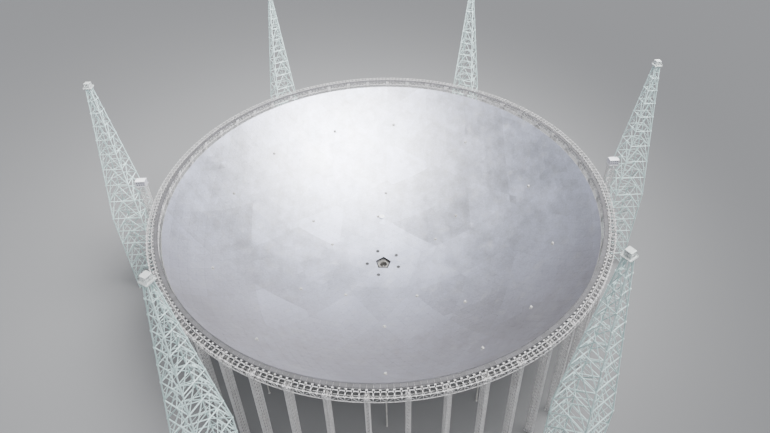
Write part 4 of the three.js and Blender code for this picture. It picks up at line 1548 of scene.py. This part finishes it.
@dataclass(frozen=True)
class SunLamp(Lamp):
    """A distant soft lamp that lights all of the floor alike. Its size is an angle."""

    def build(self) -> None:
        """Makes the sun and turns it from its place to its aim."""
        light = bpy.data.lights.new(self.name, "SUN")
        light.angle = self.size
        self.hang(light)


LAMPS = (
    Lamp("key_lamp", place=(6.5, -2.0, 30.0), aim=(-3.85, 7.86, 3.1), size=28.0, power=15000.0, spread=1.6),
    SunLamp("sun_lamp", place=(9.0, -12.0, 27.0), aim=(0.0, 0.0, 0.0), size=math.radians(60), power=3.5),
)


@dataclass
class Studio:
    """Floor, lights and camera."""

    floor_half: float = 400.0
    floor_colour: Triple = (0.19, 0.191, 0.19)
    sky: Triple = (0.83, 0.86, 0.94)
    sky_strength: float = 0.8
    image_width: float = 770.0
    focal_pixels: float = 514.6
    shift_pixels: float = -110.0
    eye: Triple = (0.0, -483.1, 536.8)
    yaw: float = math.radians(0.86)
    pitch: float = math.radians(30.8)
    roll: float = math.radians(1.37)
    lamps: tuple[Lamp, ...] = LAMPS

    def build(self) -> None:
        """Makes all of it."""
        self.floor()
        self.world()
        for lamp in self.lamps:
            lamp.build()
        self.camera()

    def floor(self) -> None:
        """A plain pale floor as a grid of two by two quads."""
        steps = np.linspace(-self.floor_half, self.floor_half, 3)
        x, y = np.meshgrid(steps, steps, indexing="ij")
        points = spot(x, y, 0.0).reshape(-1, 3)
        i = np.array([0, 1, 3, 4])
        quads = np.stack([i, i + 3, i + 4, i + 1], axis=-1)
        data = bpy.data.meshes.new("studio_floor")
        data.from_pydata(points.tolist(), [], quads.tolist())
        recipe = Recipe("studio_floor")
        recipe.surface(Base_Color=(*self.floor_colour, 1.0), Roughness=0.9)
        data.materials.append(recipe.material)
        floor = bpy.data.objects.new("studio_floor", data)
        bpy.context.scene.collection.objects.link(floor)

    def world(self) -> None:
        """An even pale sky."""
        world = bpy.data.worlds.new("studio_sky")
        world.use_nodes = True
        back = world.node_tree.nodes["Background"]
        back.inputs["Color"].default_value = (*self.sky, 1.0)
        back.inputs["Strength"].default_value = self.sky_strength
        bpy.context.scene.world = world

    def camera(self) -> None:
        """The camera at the photograph's place, with its lens, turn and shift."""
        data = bpy.data.cameras.new("camera")
        data.sensor_width = 36.0
        data.lens = self.focal_pixels / self.image_width * data.sensor_width
        data.shift_y = self.shift_pixels / self.image_width
        data.clip_start = 0.1
        data.clip_end = 2000.0
        camera = bpy.data.objects.new("camera", data)
        ahead = polar(math.cos(self.pitch), TURN / 4 - self.yaw, -math.sin(self.pitch))
        right = np.array([math.cos(self.yaw), -math.sin(self.yaw), 0.0])
        down = np.cross(ahead, right)
        cos = math.cos(self.roll)
        sin = math.sin(self.roll)
        axes = np.stack([cos * right + sin * down, sin * right - cos * down, -ahead], axis=-1)
        camera.rotation_euler = Matrix(axes.tolist()).to_euler()
        camera.location = np.array(self.eye) * SCALE
        bpy.context.scene.collection.objects.link(camera)
        bpy.context.scene.camera = camera


def main() -> None:
    """Builds the stage and every part of the telescope."""
    logging.basicConfig(level=logging.INFO, format="%(name)s %(message)s")
    site = Site.from_frame()
    Studio().build()
    parts = (
        Bowl(site, PanelGrid(site)),
        RingGirder(site),
        Tower(site),
        TowerHead(site),
        WinchHouse(site),
        Hub(site),
    )
    for part in parts:
        part.build()
        log.info("%s is built", type(part).__name__)
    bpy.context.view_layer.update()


if __name__ == "__main__":
    main()
